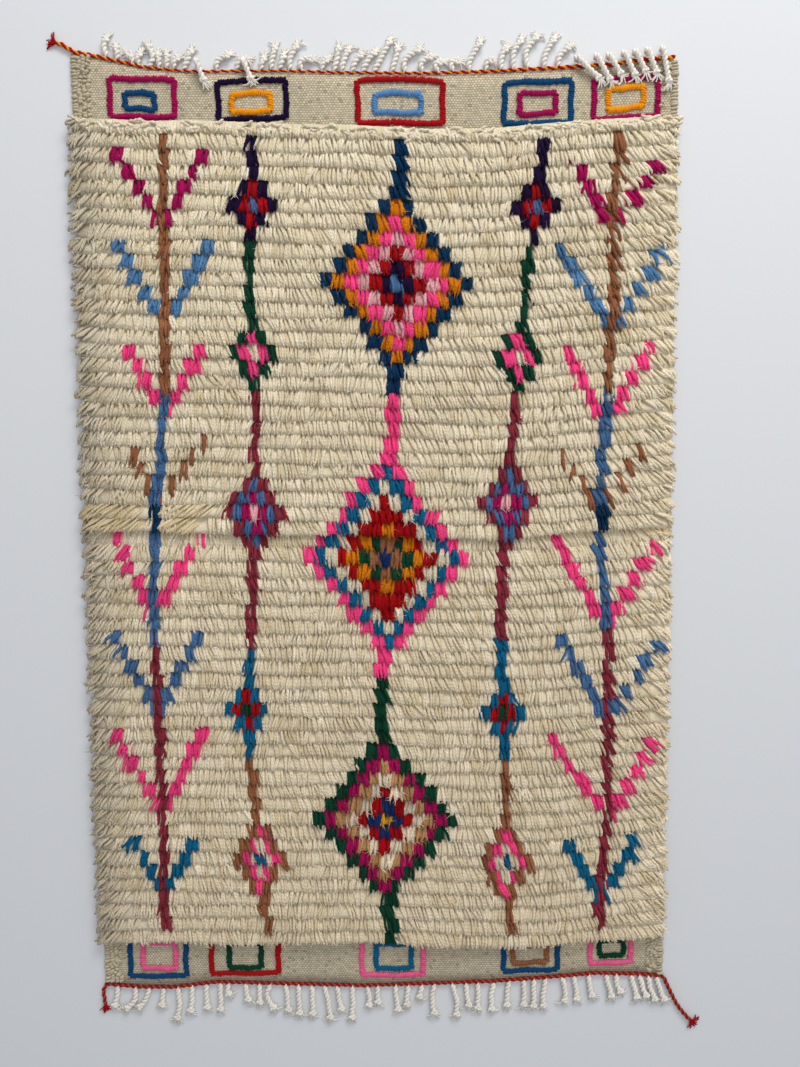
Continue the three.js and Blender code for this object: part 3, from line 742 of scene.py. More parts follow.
def edge_lean(across):
    """How far a yarn leans sideways, in radians: both sides of the rug are combed outwards."""
    inward = HALF_WIDTH - np.abs(across)
    wide = np.where(across > 0, 0.42, 0.16) * np.exp(-inward / 120.0)
    return np.sign(across) * (0.85 * np.exp(-((inward / 48.0) ** 1.3)) + wide)


def slant(row, across):
    """How neighbouring yarns lie over to one side together, in radians."""
    slow = 0.16 * np.sin(across / 71 + 0.35 * row) + 0.1 * np.sin(across / 29 - 1.9 * row)
    return 0.08 + slow + 0.09 * np.sin(across / 11.5 + 2.3 * row)


def yarn_colours(dyes, tone):
    """Each yarn's own shade of its dye."""
    colour = np.array([COLOUR[name] for name in dyes.ravel()]).reshape(*dyes.shape, 3)
    tone = tone[..., None]
    share = np.clip(np.abs(tone), 0, 1.6) * 0.6
    aim = np.where(tone > 0, COLOUR["cream_light"], COLOUR["cream_dark"])
    plain = (dyes == "cream")[..., None]
    colour = np.where(plain, colour + (aim - colour) * share, colour * (1 + 0.16 * tone))
    return np.concatenate([np.clip(colour, 0.0, 1.0), np.ones((*dyes.shape, 1))], -1)


def painted_edge_shade_and_light(across):
    """Painted shade that makes the wool greyer and darker towards the left side, and painted light
    that makes it paler at the right, as shares of a colour.
    """
    inward = HALF_WIDTH - np.abs(across)
    depth = np.where(across < 0, 0.52, -0.14) * np.exp(-inward / 32.0)
    return 1 - depth[..., None] * np.array([1.0, 1.0, 0.95, 0.0])


def puffs(dyes, across):
    """How far each dyed yarn is from the middle of its own block of colour, from -1 to 1."""
    offset = np.zeros(dyes.shape)
    for line in range(dyes.shape[0]):
        cuts = np.flatnonzero(dyes[line, 1:] != dyes[line, :-1]) + 1
        for block in np.split(np.arange(dyes.shape[1]), cuts):
            if dyes[line, block[0]] != "cream":
                where = across[line, block]
                middle = (where.min() + where.max()) / 2
                offset[line, block] = (where - middle) / max(where.max() - middle, 6.0)
    return offset


def pile_roots():
    """Every yarn of the pile as rows of values: root, reach, sway, phase, girth and dye."""
    count = int(2 * (HALF_WIDTH - 4) / YARN_PITCH) + 1
    places = np.linspace(-HALF_WIDTH + 4, HALF_WIDTH - 4, count)
    row, column = np.meshgrid(np.arange(ROWS), np.arange(count), indexing="ij")
    shape = row.shape
    across = places[column] + draw.normal(0, 0.5, shape)
    knot = np.clip(((across + HALF_WIDTH) / KNOT_WIDTH).astype(int), 0, KNOTS - 1)
    knot_middle = (knot + 0.5) * KNOT_WIDTH - HALF_WIDTH

    def knots(spread):
        """A value that all the yarns of one knot share."""
        return draw.normal(0.0, spread, (ROWS, KNOTS))[row, knot]

    inward = HALF_WIDTH - np.abs(across)
    near_edge = np.exp(-inward / 60.0)
    # The yarns of the crease lie over sideways, all but those of the stem there
    creased = (across < CREASE_END + 20 * np.sin(row * 3.0)) & (row < CREASE_ROW)
    creased &= row >= CREASE_ROW - CREASE_ROWS
    beside = across - stem_across(0, 60.0)
    creased &= (beside < -10) | (beside > 37)
    lean = edge_lean(across) + slant(row, across) * (1 - near_edge)
    lean += knots(0.08) + draw.normal(0, 0.1, shape) * (1 + 1.6 * near_edge)
    lean += knots(0.3) * near_edge
    lean = np.where(creased, -1.15 + draw.normal(0, 0.1, shape), lean)
    tucked = np.where(row == 0, TUCKED_FIRST, TUCKED)
    along = tip_line(row - 1, across) + tucked + draw.normal(0, 0.8, shape)
    along -= np.where(creased & (column % 2 == 1), 11.0, 0.0)
    tip = tip_line(row, across) + row_waves(row, across) + knots(0.8) + draw.normal(0, 0.9, shape)
    tip -= np.where(creased, 8.0, 0.0)
    tip += near_edge * (knots(3.0) + draw.normal(0, 2.5, shape) + 1.0)
    reach = along - tip
    root = across + 0.12 * (knot_middle - across)
    tip_across = across + 0.04 * (across - knot_middle) - root + np.sin(lean) * reach * 1.05
    tip_along = -reach * (0.5 + 0.5 * np.cos(lean))
    limit = HALF_WIDTH + 4 + 9 * draw.random(shape)
    tip_across = np.clip(tip_across, -limit - root, limit - SHORT_RIGHT - root)
    rise = YARN_RISE + knots(0.5) + draw.normal(0, 0.55, shape) + 0.5 * np.sin(across / 43 + row)
    rise -= 3.0 * np.exp(-inward / 12.0)
    for ridge, lift in CREASE_LIFTS.items():
        rise += np.where(row == ridge, lift * np.where(across < -170, 1.0, 0.6), 0.0)
    foot = np.full(shape, ROOT_HEIGHT) - 3.5 * np.exp(-inward / 14.0)
    foot -= np.where(row == CREASE_ROW, CREASE_DROP, 0.0)
    shown = along - tucked + 0.45 * (tip_along + tucked)
    dyes = np.where(creased, "cream", dye_names(root + 0.65 * tip_across, shown, row))
    dyed = dyes != "cream"
    offset = puffs(dyes, root + tip_across)
    lump = np.where(dyed, 1 - offset**2, 0.0)
    tip_across = tip_across + 1.8 * offset + 0.8 * dyed * draw.normal(0, 1, shape)
    tip_along = tip_along - 1.6 * lump + 1.0 * dyed * draw.normal(0, 1, shape)
    rise = rise + 1.8 * lump
    # Tan yarns are longer, but not beside these two stems
    long = dyes == "tan"
    for number in (1, 3):
        long &= np.abs(across - stem_across(number, along)) > 30
    tip_along = tip_along - 8.0 * long
    tone = draw.normal(0, 0.5, shape) + knots(0.45)
    tone += 0.22 * np.sin(across / 83 + 0.9 * row)
    tone += 0.2 * np.sin(1.3 * row) + 0.15 * np.sin(across / 31 - row)
    yellowed = np.where(creased[..., None], [0.97, 0.92, 0.78, 1.0], 1.0)
    # The wool is made warmer and a little darker towards the lower rows
    warmer_downwards = 1 - row[..., None] / ROWS * np.array([0.0, 0.035, 0.055, 0.0])
    return {
        "root": np.stack([root, along, foot], -1),
        "reach": np.stack([tip_across, tip_along, rise], -1) * MM,
        "sway": np.abs(draw.normal(*YARN_SWAY, shape)) * (1 + near_edge) * MM,
        "phase": draw.uniform(0, 2 * math.pi, shape),
        "dyed": dyed,
        "girth": draw.normal(1.02, 0.08, shape) + 0.1 * dyed,
        # Painted shade darkens the left side's wool and painted light brightens the right side's
        "dye": yarn_colours(dyes, tone) * painted_edge_shade_and_light(across) * yellowed * warmer_downwards,
    }


def toward(bearing, length, rise):
    """Where a yarn's tip is from its root. The bearing turns from straight down the rug."""
    return np.stack([np.sin(bearing) * length, -np.cos(bearing) * length, rise], -1)


def loose_yarns(across, along, height, reach, sway, girth, tone):
    """Undyed yarns. The last three are each a middle and a spread."""
    count = len(across)
    return {
        "root": np.stack([across, along, np.full(count, height)], -1),
        "reach": reach * MM,
        "sway": np.abs(draw.normal(*sway, count)) * MM,
        "phase": draw.uniform(0, 2 * math.pi, count),
        "girth": draw.normal(*girth, count),
        "dye": yarn_colours(np.full(count, "cream", dtype=object), draw.normal(*tone, count)),
    }


def rim_roots(count=240):
    """Loose yarns between the rows' ends, along both sides of the rug."""
    both = 2 * count
    side = np.where(np.arange(both) < count, -1.0, 1.0)
    along = np.tile(np.linspace(-676, 690, count), 2) + draw.normal(0, 2.5, both)
    inward = draw.uniform(6, 26, both)
    across = side * (HALF_WIDTH - inward)
    bearing = side * draw.uniform(0.95, 1.8, both)
    length = inward + draw.uniform(-3, 11, both) - np.where(side > 0, SHORT_RIGHT, 0.0)
    reach = toward(bearing, np.maximum(length, 5.0), draw.uniform(4, 9, both))
    yarns = loose_yarns(across, along, 5.0, reach, (1.8, 0.8), (0.95, 0.08), (-0.3, 0.5))
    # Painted shade at the left side and painted light at the right, as on the rows' yarns
    yarns["dye"] *= painted_edge_shade_and_light(across)
    return yarns


def fluff_roots(count=230):
    """Ruffled yarns along the pile's upper edge, which lie over the foot of the band."""
    across = np.linspace(-HALF_WIDTH + 6, HALF_WIDTH - 6, count) + draw.normal(0, 2.0, count)
    bearing = np.where(draw.random(count) < 0.6, 1, -1) * draw.uniform(0.8, 1.75, count)
    length = draw.uniform(13, 24, count)
    along = outline("pile_top", across) - draw.uniform(3, 14, count)
    reach = toward(bearing, length, draw.normal(8.0, 1.2, count))
    limit = HALF_WIDTH + 8
    reach[:, 0] = np.clip(reach[:, 0], -limit - across, limit - across)
    return loose_yarns(across, along, 10.0, reach, (2.6, 1.0), (1.08, 0.08), (0.4, 0.5))


# Each piece's name, first row and the row after its last
PILE_PARTS = [
    ("pile_upper", 0, 15),
    ("pile_second", 15, 29),
    ("pile_third", 29, 44),
    ("pile_lower", 44, 58),
]
FUZZ_FACES = [(0, 1, 3), (1, 2, 3), (2, 0, 3), (0, 2, 1)]


def make_fuzz(values, dyed, plain=2400, per_dyed=3):
    """Fine loose fibres that stand off the yarns, most of them from the dyed ones."""
    picked = np.repeat(np.flatnonzero(dyed), per_dyed)
    picked = np.concatenate([picked, draw.choice(np.flatnonzero(~dyed.ravel()), plain)])
    root, reach, dye = (
        values[key].reshape(-1, values[key].shape[-1])[picked] for key in ("root", "reach", "dye")
    )
    count = len(picked)
    share = draw.uniform(0.45, 0.98, count)
    start = root + reach * np.stack([share, share, np.full(count, 0.94)], -1) / MM
    start[:, 2] += draw.uniform(0.6, 2.0, count)
    bearing = np.arctan2(reach[:, 1], reach[:, 0]) + draw.normal(0, 0.8, count)
    tilt = draw.uniform(-0.1, 0.42, count)
    length = draw.uniform(7.0, 14.0, count)[:, None]
    east, north, level = np.cos(bearing), np.sin(bearing), np.cos(tilt)
    way = np.stack([east * level, north * level, np.sin(tilt)], -1)
    side = np.stack([-north, east, 0 * bearing], -1)
    up = np.cross(way, side)
    thick = draw.uniform(0.5, 0.9, count)[:, None]
    turns = (0.0, 2 * math.pi / 3, 4 * math.pi / 3)
    ring = [start + thick * (side * math.cos(turn) + up * math.sin(turn)) for turn in turns]
    points = np.stack([*ring, start + way * length], 1).reshape(-1, 3)
    faces = (np.array(FUZZ_FACES) + 4 * np.arange(count)[:, None, None]).reshape(-1, 3)
    mesh = new_mesh("pile_fuzz", points, faces=faces)
    store(mesh, "dye", np.repeat(dye, 4, 0))
    mesh.uv_layers.new(name="along_yarn")
    mesh.materials.append(wool("pile_fuzz_wool", "dye", streaks=0.1, relief=0.2))
    return placed("pile_fuzz", mesh)


def make_pile():
    """The cut yarns, in four pieces from the upper end down, and the fibres that stand off them."""
    yarn = wool("pile_wool", "dye", streaks=0.24, relief=0.7, winding=0.085, ply_ridges=0.7)
    values = pile_roots()
    dyed = values.pop("dyed")
    pieces = [make_fuzz(values, dyed)]
    for name, first, last in PILE_PARTS:
        part = {key: kept[first:last].reshape(-1, *kept.shape[2:]) for key, kept in values.items()}
        # Both are drawn for every piece, to keep the order of the draws after them
        extras = {"pile_upper": fluff_roots(), "pile_lower": rim_roots()}
        if name in extras:
            part = {key: np.concatenate([kept, extras[name][key]]) for key, kept in part.items()}
        roots = part.pop("root")
        pieces.append(grown(name, PILE_TREE, roots, attributes=part, material=yarn))
    return pieces


# Height of the wool under a row's yarns, by how far it is down from the row above it
BED_PROFILE = [(0.0, 9.0), (0.28, 14.2), (0.62, 17.0), (0.86, 17.2)]
BED_COLUMNS = 134
BED_LOWEST = 4.2


def make_bed():
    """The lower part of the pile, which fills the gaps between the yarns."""
    across = np.linspace(-HALF_WIDTH + 3, HALF_WIDTH - 3, BED_COLUMNS)
    lines = []
    for row in range(ROWS):
        upper = tip_line(row - 1, across) + (row_waves(row - 1, across) if row else 0)
        lower = tip_line(row, across) + row_waves(row, across)
        for share, height in BED_PROFILE:
            lift = CREASE_LIFTS.get(row, 0.0) * share - CREASE_DROP * (row == CREASE_ROW)
            lines.append((upper + (lower - upper) * share, height + lift, row))
    lines.append((tip_line(ROWS - 1, across) + 3, 5.0, ROWS - 1))
    along = np.array([line[0] for line in lines])
    height, row = (
        np.repeat(np.array([line[k] for line in lines])[:, None], BED_COLUMNS, 1) for k in (1, 2)
    )
    wide = np.broadcast_to(across, along.shape)
    inward = HALF_WIDTH - np.abs(wide)
    height = height - 7.0 * np.exp(-inward / 12.0) + 0.6 * np.sin(wide / 3.1 + row * 2)
    height = np.maximum(height, BED_LOWEST)
    middle = tip_line(row, wide) + 0.5 * (tip_line(row - 1, wide) - tip_line(row, wide))
    dyes = dye_names(wide + 0.5 * np.sin(edge_lean(wide)) * 20, middle, row)
    # Painted shade at the left side and painted light at the right, as on the yarns
    colours = yarn_colours(dyes, draw.normal(0.0, 0.4, along.shape)) * painted_edge_shade_and_light(wide)
    faces = grid(*along.shape)[1]
    mesh = new_mesh("pile_bed", np.stack([wide, along, height], -1).reshape(-1, 3), faces=faces)
    store(mesh, "dye", colours.reshape(-1, 4))
    flat = np.stack([along, wide / 18.0], -1).reshape(-1, 2)[faces.ravel()]
    mapped = mesh.uv_layers.new(name="along_yarn")
    mapped.data.foreach_set("uv", flat.astype(np.float32).ravel())
    mesh.shade_smooth()
    mesh.materials.append(wool("pile_bed_wool", "dye", streaks=0.3, relief=0.8))
    return placed("pile_bed", mesh)


# ---------------------------------------------------------------- the ground

BACK_OF_KNOT = 8.5
BAND_STEPS = 4


def ground_lines(across):
    """Lines across the rug from its upper end down, and the row each strip's knots are in."""
    upper, lower = outline("upper_end", across), outline("lower_end", across)
    top, foot = outline("pile_top", across), outline("pile_foot", across)
    lines = [upper + (top - upper) * k / BAND_STEPS for k in range(BAND_STEPS)]
    rows = [-1] * BAND_STEPS
    for row in range(ROWS):
        start = tip_line(row - 1, across)
        lines += [start, start - BACK_OF_KNOT]
        rows += [row, -1]
    lines += [foot + (lower - foot) * k / BAND_STEPS for k in range(BAND_STEPS + 1)]
    rows += [-1] * BAND_STEPS
    return np.stack(lines, 1), np.array(rows)


def make_ground():
    """The woven cloth under the pile, with two bands and, on its back, the knots of each row."""
    edges = [-490, -487, -484, 484, 487, 490]
    columns = np.unique(np.concatenate([np.linspace(-480, 480, 57), edges]))
    along, rows = ground_lines(columns)
    across = np.repeat(columns[:, None], along.shape[1], 1)
    inward = HALF_WIDTH - np.abs(across)
    lump = 0.5 * np.sin(across * 0.031 + along * 0.012)
    lump += 0.4 * np.sin(along * 0.083 - across * 0.02)
    selvedge = 1.4 * np.exp(-((inward - 5) ** 2) / 18.0)
    top = CLOTH_THICK - 0.6 + 0.5 * lump + selvedge - 1.2 * np.exp(-inward / 1.2)
    top[:, [0, -1]] = CLOTH_THICK - 0.8
    layer = across.size
    index, quads = grid(*across.shape)
    rim = np.array([*index[0, :], *index[1:, -1], *index[-1, -2::-1], *index[-2:0:-1, 0]])
    after = np.roll(rim, -1)
    rim_faces = np.stack([rim, rim + layer, after + layer, after], -1)
    faces = np.concatenate([quads[:, [0, 3, 2, 1]], quads + layer, rim_faces])
    middle_across = (across[:-1, :-1] + across[1:, 1:]) / 2
    middle_along = (along[:-1, :-1] + along[1:, 1:]) / 2
    strip = np.broadcast_to(rows, middle_across.shape)
    dyes = dye_names(middle_across, middle_along - BACK_OF_KNOT, strip)
    dyes = np.where((strip < 0) | (dyes == "cream"), "band", dyes)
    colours = np.tile([*COLOUR["band"], 1.0], (len(faces), 1))
    colours[len(quads) : 2 * len(quads), :3] = [COLOUR[name] for name in dyes.ravel()]
    both = [np.stack([across, along, height], -1) for height in (top, top * 0)]
    mesh = new_mesh("rug_ground", np.concatenate(both).reshape(-1, 3), faces=faces)
    store(mesh, "dye", np.repeat(colours, 4, 0), "CORNER")
    mesh.shade_smooth()
    mesh.materials.append(cloth("woven_ground", WEAVE, "dye"))
    return placed("rug_ground", mesh)


# ---------------------------------------------------------------- fringes and cords


def smooth_path(points, step=2.0):
    """Places along a smooth curve through a few points, about step apart."""
    p = np.array(points, dtype=float)
    padded = np.vstack([2 * p[0] - p[1], p, 2 * p[-1] - p[-2]])
    out = []
    for i in range(len(p) - 1):
        a, b, c, d = padded[i : i + 4]
        for t in np.linspace(0, 1, 12, endpoint=False):
            square, cube = 2 * a - 5 * b + 4 * c - d, 3 * b - 3 * c + d - a
            out.append(0.5 * (2 * b + (c - a) * t + square * t**2 + cube * t**3))
    out = np.array([*out, p[-1]])
    run = np.concatenate([[0], np.cumsum(np.linalg.norm(np.diff(out, axis=0), axis=1))])
    even = np.linspace(0, run[-1], max(3, int(run[-1] / step) + 1))
    return np.stack([np.interp(even, run, out[:, k]) for k in range(3)], -1)


class Paths:
    """Many paths gathered for one geometry tree."""

    def __init__(self):
        self.points, self.edges, self.girth = [], [], []

    def add(self, points, girth=1.0, closed=False):
        start = len(self.points)
        self.points += [list(p) for p in points]
        self.edges += [(start + i, start + i + 1) for i in range(len(points) - 1)]
        if closed:
            self.edges.append((start + len(points) - 1, start))
        self.girth += list(np.broadcast_to(girth, (len(points),)))

    def grow(self, name, yarn, thick, spacing, sides=6, plies=1, pitch=12.0, lay=0.0, second=1.0):
        """The paths as yarn, in one piece. Sizes are in millimetres."""
        return grown(
            name,
            PLIED_TREE,
            self.points,
            self.edges,
            {"girth": self.girth},
            material=yarn,
            plies=plies,
            sides=sides,
            second_ply=second,
            pitch=pitch * MM,
            lay_radius=lay * MM,
            ply_radius=thick * MM,
            spacing=spacing * MM,
        )


SEAM_GAP = 0.6
CORD_WIDTH = 6.4
CORD_MIDDLE = SEAM_GAP + CORD_WIDTH / 2
CORD_HEIGHT = 3.95
ROOT_OUT = 2 * SEAM_GAP + CORD_WIDTH + 1.5
ROUTE_STEP = 1.5

# How thick each cord is along its run, as places across the rug and shares of its full thickness
CORD_GIRTH = {
    "upper": ([-512, -440, -340, -100, 100, 300, 490], [1.05, 0.95, 0.7, 0.66, 0.76, 0.92, 1.04]),
    "lower": ([-500, 0, 541], [0.95, 0.9, 1.0]),
}


def cord_middle(end, across):
    """How far out from the band's edge the middle of the cord is."""
    return 0.4 + 3.3 * np.interp(across, *CORD_GIRTH[end])


# Fringe strands: across the rug at root, middle and tip, then how far out from the cord the
# middle and tip are
UPPER_FRINGE = [
    (-433, -435, -428, 20, 36), (-416, -415, -418, 13, 27), (-390, -394, -403, 12, 18),
    (-380, -381, -374, 12, 24), (-366, -357, -367, 15, 38), (-348, -348, -350, 13, 27),
    (-336, -334, -335, 17, 27), (-324, -322, -311, 12, 22), (-310, -301, -292, 16, 36),
    (-255, -253, -229, 14, 27), (-225, -216, -199, 14, 16), (-184, -181, -176, 11, 24),
    (-168, -165, -158, 17, 41), (-156, -149, -144, 13, 29), (-138, -135, -121, 21, 43),
    (-117, -119, -93, 14, 18), (-86, -83, -71, 11, 22), (-66, -61, -56, 19, 43),
    (-54, -49, -38, 19, 40), (-38, -30, -16, 17, 31), (-21, -9, 7, 20, 35), (-3, 11, 28, 22, 53),
    (26, 33, 39, 18, 43), (49, 49, 78, 19, 39), (77, 76, 98, 15, 27), (105, 97, 115, 11, 17),
    (128, 124, 142, 13, 17), (153, 154, 174, 17, 50), (180, 182, 198, 14, 15),
    (204, 206, 219, 25, 38), (224, 224, 240, 25, 50), (248, 244, 265, 25, 54),
    (272, 277, 294, 25, 50), (295, 299, 319, 18, 35),
]
LOWER_FRINGE = [
    (-468, -472, -477, 24, 44), (-438, -440, -460, 24, 44), (-412, -423, -438, 26, 41),
    (-388, -391, -394, 22, 41), (-364, -361, -368, 33, 65), (-338, -339, -343, 28, 54),
    (-313, -313, -311, 28, 52), (-289, -288, -289, 28, 57), (-272, -276, -268, 15, 28),
    (-245, -241, -239, 22, 39), (-220, -219, -220, 22, 44), (-200, -206, -189, 25, 51),
    (-173, -170, -169, 30, 56), (-151, -150, -149, 30, 61), (-127, -126, -126, 30, 61),
    (-105, -98, -95, 33, 68), (-83, -79, -74, 26, 52), (-56, -55, -58, 31, 67),
    (-29, -26, -27, 21, 43), (-11, -11, -11, 19, 39), (20, 22, 26, 24, 53), (43, 41, 40, 21, 45),
    (68, 64, 62, 16, 31), (89, 85, 90, 29, 62), (119, 128, 128, 29, 66), (144, 147, 150, 25, 50),
    (166, 166, 165, 27, 56), (194, 189, 191, 29, 58), (221, 217, 217, 27, 53),
    (247, 247, 246, 29, 54), (264, 264, 264, 31, 58), (286, 281, 281, 29, 60),
    (313, 320, 317, 27, 53), (335, 339, 341, 28, 51), (361, 363, 370, 25, 47),
    (391, 397, 404, 26, 49), (409, 412, 422, 23, 40), (435, 442, 449, 28, 50),
    (450, 456, 466, 23, 47), (465, 471, 482, 28, 52), (480, 487, 498, 26, 51),
]
# Strands turned back over the upper cord: across at root and tip, and how far in the tip lies
FOLDED = [
    (-284, -272, 26), (-208, -196, 24), (330, 368, 27), (360, 384, 33), (380, 402, 25),
    (404, 424, 30), (422, 441, 26), (441, 458, 31), (464, 476, 47),
]
# A folded strand's way over the cord: how far back from where it starts, and how high
FOLD_OVER = [(0, 4.2), (4.5, 5.6), (8.5, 10.0), (3, 15.0), (-6, 13.2)]
STRAND_ROOT_HEIGHT = 4.8
STRAND_HEIGHT = 5.6
FOLDED_KNOT_HEIGHT = 10.2
KNOT_BACK = 11.0
KNOT_LOBE = 2.3
KNOT_POINTS = 22
FRAY_STRINGS = 8
UP = np.array([0.0, 0.0, 1.0])


def sideways(way):
    """The direction on the floor to the left of a way."""
    return np.array([-way[1], way[0], 0.0])


def knot_path(middle, way, size):
    """An overhand knot, as a closed three-lobed loop pulled tight."""
    t = np.linspace(0, 2 * math.pi, KNOT_POINTS, endpoint=False)
    loop_across = (np.sin(t) + 2 * np.sin(2 * t)) * size * 0.8
    loop_along = (np.cos(t) - 2 * np.cos(2 * t)) * size * 0.62
    loop_up = -np.sin(3 * t) * size
    loop = sideways(way) * loop_across[:, None] + way * loop_along[:, None]
    return middle + loop + UP * loop_up[:, None]


def fray_paths(paths, knot, way, tip_height, spread=1.5):
    """Loose strings that fan out from a knot."""
    side = sideways(way)
    for i in range(FRAY_STRINGS):
        fan = (i / (FRAY_STRINGS - 1) - 0.5) * spread + draw.normal(0, 0.12)
        length = draw.uniform(12.0, 19.0)
        curl = draw.normal(0, 0.3)
        points = []
        for s in np.linspace(0, 1, 5):
            angle = fan * (0.55 + 0.55 * s) + curl * s * s
            spot = knot + (way * math.cos(angle) + side * math.sin(angle)) * length * s
            height = knot[2] * (1 - s) + tip_height * s + 1.2 * math.sin(math.pi * s)
            points.append([spot[0], spot[1], max(height + draw.normal(0, 0.3), 1.2)])
        paths.add(points, np.linspace(1.0, 0.75, 5))


def make_fringe(end, out, flat, folded, yarn):
    """One end's fringe: plied strands, knots and frayed ends, joined into one piece."""
    name, line = "plied_fringe_" + end, end + "_end"
    plied, knots, frays = Paths(), Paths(), Paths()

    def finish(route, thin, thick, knot, way, tip_height, spread):
        """Adds a strand that thickens from its root, its knot and its frayed end."""
        plied.add(route, np.clip(thin + 0.12 * np.arange(len(route)), thin, thick))
        knots.add(knot_path(knot, way, KNOT_LOBE), closed=True)
        fray_paths(frays, knot, way, tip_height, spread)

    for root, middle, tip, half, reach in flat:
        edge = float(outline(line, root))
        cord = edge + out * CORD_MIDDLE
        start = edge + out * float(cord_middle(end, root))
        bend = out * max(out * cord + half, out * start + 6)
        plan = [
            (root, start, STRAND_ROOT_HEIGHT),
            (middle, bend, STRAND_HEIGHT),
            (tip, cord + out * reach, STRAND_HEIGHT),
        ]
        route = smooth_path(plan, ROUTE_STEP)
        route[:, :2] += 0.5 * np.sin(np.arange(len(route)) * 0.35 + root)[:, None]
        steps = max(1, min(int(KNOT_BACK / ROUTE_STEP), len(route) // 2))
        way = route[-1] - route[-steps - 1]
        way /= np.linalg.norm(way)
        knot = route[-steps - 1] + UP
        finish(route[:-steps], 0.4, 1.0, knot, way, 1.5, 0.85 if out > 0 else 1.5)
    for root, tip, reach in folded:
        edge = float(outline(line, root))
        start = np.array([root, edge + out * ROOT_OUT, 0.0])
        stop = np.array([tip, edge + out * (CORD_MIDDLE - reach), 0.0])
        way = (stop - start) / np.linalg.norm(stop - start)
        points = [start - way * back + UP * height for back, height in FOLD_OVER]
        knot = stop - way * KNOT_BACK + UP * FOLDED_KNOT_HEIGHT
        finish(smooth_path([*points, knot], ROUTE_STEP), 0.5, 0.94, knot, way, 7.6, 1.3)
    return joined(
        [
            plied.grow(name, yarn, thick=2.75, spacing=2.0, plies=2, pitch=15.0, lay=2.4),
            knots.grow(name + "_knots", yarn, thick=2.3, spacing=2.6),
            frays.grow(name + "_frays", yarn, thick=1.35, spacing=3.4, sides=4),
        ]
    )


def joined(parts):
    """Several meshes as one piece, under the first one's name."""
    with bpy.context.temp_override(
        active_object=parts[0], selected_objects=parts, selected_editable_objects=parts
    ):
        bpy.ops.object.join()
    return parts[0]


# Each cord's dyes, its twist, and its loose ends at the left and right as (across, how far out)
CORD_DYES = {"upper": ("band_red", "amber"), "lower": ("red", "cord_tan")}
CORD_TWIST = {
    "upper": {"pitch": 15.5, "lay": 1.3, "thick": 2.4, "second": 0.72},
    "lower": {"pitch": 11.0, "lay": 1.4, "thick": 2.5, "second": 0.6},
}
TAILS = {
    "upper": [[(-512, 13), (-501, 9), (-492, 3)], []],
    "lower": [
        [(-493, 38), (-494, 26), (-495, 12), (-490, 2)],
        [(493, 3), (503, 24), (517, 52), (531, 71), (541, 82)],
    ],
}


def make_cord(end, out, tufts):
    """Two dyed yarns twined along one end of the rug, with their loose ends.

    tufts are where a loose end's tip is and a place just before it.
    """
    name, line = "twined_yarns_" + end, end + "_end"
    near, far = (float(outline(line, side * HALF_WIDTH)) + out * CORD_MIDDLE for side in (-1, 1))
    across = np.linspace(-485, 485, 80)
    run = [(x, float(outline(line, x) + out * cord_middle(end, x))) for x in across]
    left, right = TAILS[end]
    plan = [(x, near + out * d) for x, d in left] + run + [(x, far + out * d) for x, d in right]
    route = smooth_path([(x, y, CORD_HEIGHT) for x, y in plan], ROUTE_STEP)
    paths = Paths()
    paths.add(route, np.interp(route[:, 0], *CORD_GIRTH[end]))
    yarn = wool(name + "_wool", CORD_DYES[end], streaks=0.2)
    parts = [paths.grow(name, yarn, spacing=1.3, sides=8, plies=2, **CORD_TWIST[end])]
    for tip, before in tufts:
        tuft = Paths()
        way = np.array([tip[0] - before[0], tip[1] - before[1], 0.0])
        way /= np.linalg.norm(way)
        for height, tip_height in ((3.4, 1.4), (4.6, 3.0)):
            fray_paths(tuft, np.array([*tip, height]), way, tip_height)
        yarn = wool(name + "_tuft_wool", "red")
        parts.append(tuft.grow(name + "_tuft", yarn, thick=1.2, spacing=3.2, sides=5))
    return joined(parts)


# ---------------------------------------------------------------- worked rectangles

# Each rectangle's name, left, right, low and high lines, how far it rises to the right, how far
# its upper line bows, and its dye
RECTANGLES = [
    ("upper_1_outer", -428, -325, 708, 767, -3.5, 0.5, "magenta"),
    ("upper_1_inner", -403, -357, 720, 745, -2.5, 0.5, "band_blue"),
    ("upper_2_outer", -254, -144, 704, 762, 4.0, 1.0, "purple"),
    ("upper_2_inner", -231, -170, 715, 741, 1.0, 1.5, "amber"),
    ("upper_3_outer", -28, 109, 696, 759, -2.5, 4.5, "band_red"),
    ("upper_3_inner", 0, 75, 711, 739, -1.0, 3.0, "light_blue"),
    ("upper_4_outer", 210, 318, 693, 757, 1.5, 1.0, "band_blue"),
    ("upper_4_inner", 234, 293, 708, 739, 2.0, 0.5, "magenta"),
    ("upper_5_outer", 355, 458, 701, 762, 5.5, 0.0, "magenta"),
    ("upper_5_inner", 378, 435, 715, 747, 5.0, 0.0, "amber"),
    ("lower_1_outer", -446, -347, -752, -679, -1.0, 0.0, "band_blue"),
    ("lower_1_inner", -423, -366, -737, -691, -1.0, 0.0, "rose_pink"),
    ("lower_2_outer", -303, -185, -747, -681, 1.0, 0.0, "band_red"),
    ("lower_2_inner", -271, -215, -736, -693, 1.0, 0.0, "green"),
    ("lower_3_outer", -39, 70, -752, -683, 0.5, 0.0, "rose_pink"),
    ("lower_3_inner", -13, 48, -740, -696, 0.5, 0.0, "teal"),
    ("lower_4_outer", 210, 305, -745, -688, 2.0, 0.0, "band_blue"),
    ("lower_4_inner", 227, 286, -732, -700, 2.0, 0.0, "tan"),
    ("lower_5_outer", 363, 434, -733, -680, 2.5, 0.0, "rose_pink"),
    ("lower_5_inner", 379, 421, -720, -692, 2.5, 0.0, "green"),
]
STITCH_PITCH = 3.5
STITCH_SLANT = 0.405
STITCH_SIZES = {"stitch_radius": 2.0 * MM, "half_width": 3.7 * MM, "rise": 2.3 * MM}
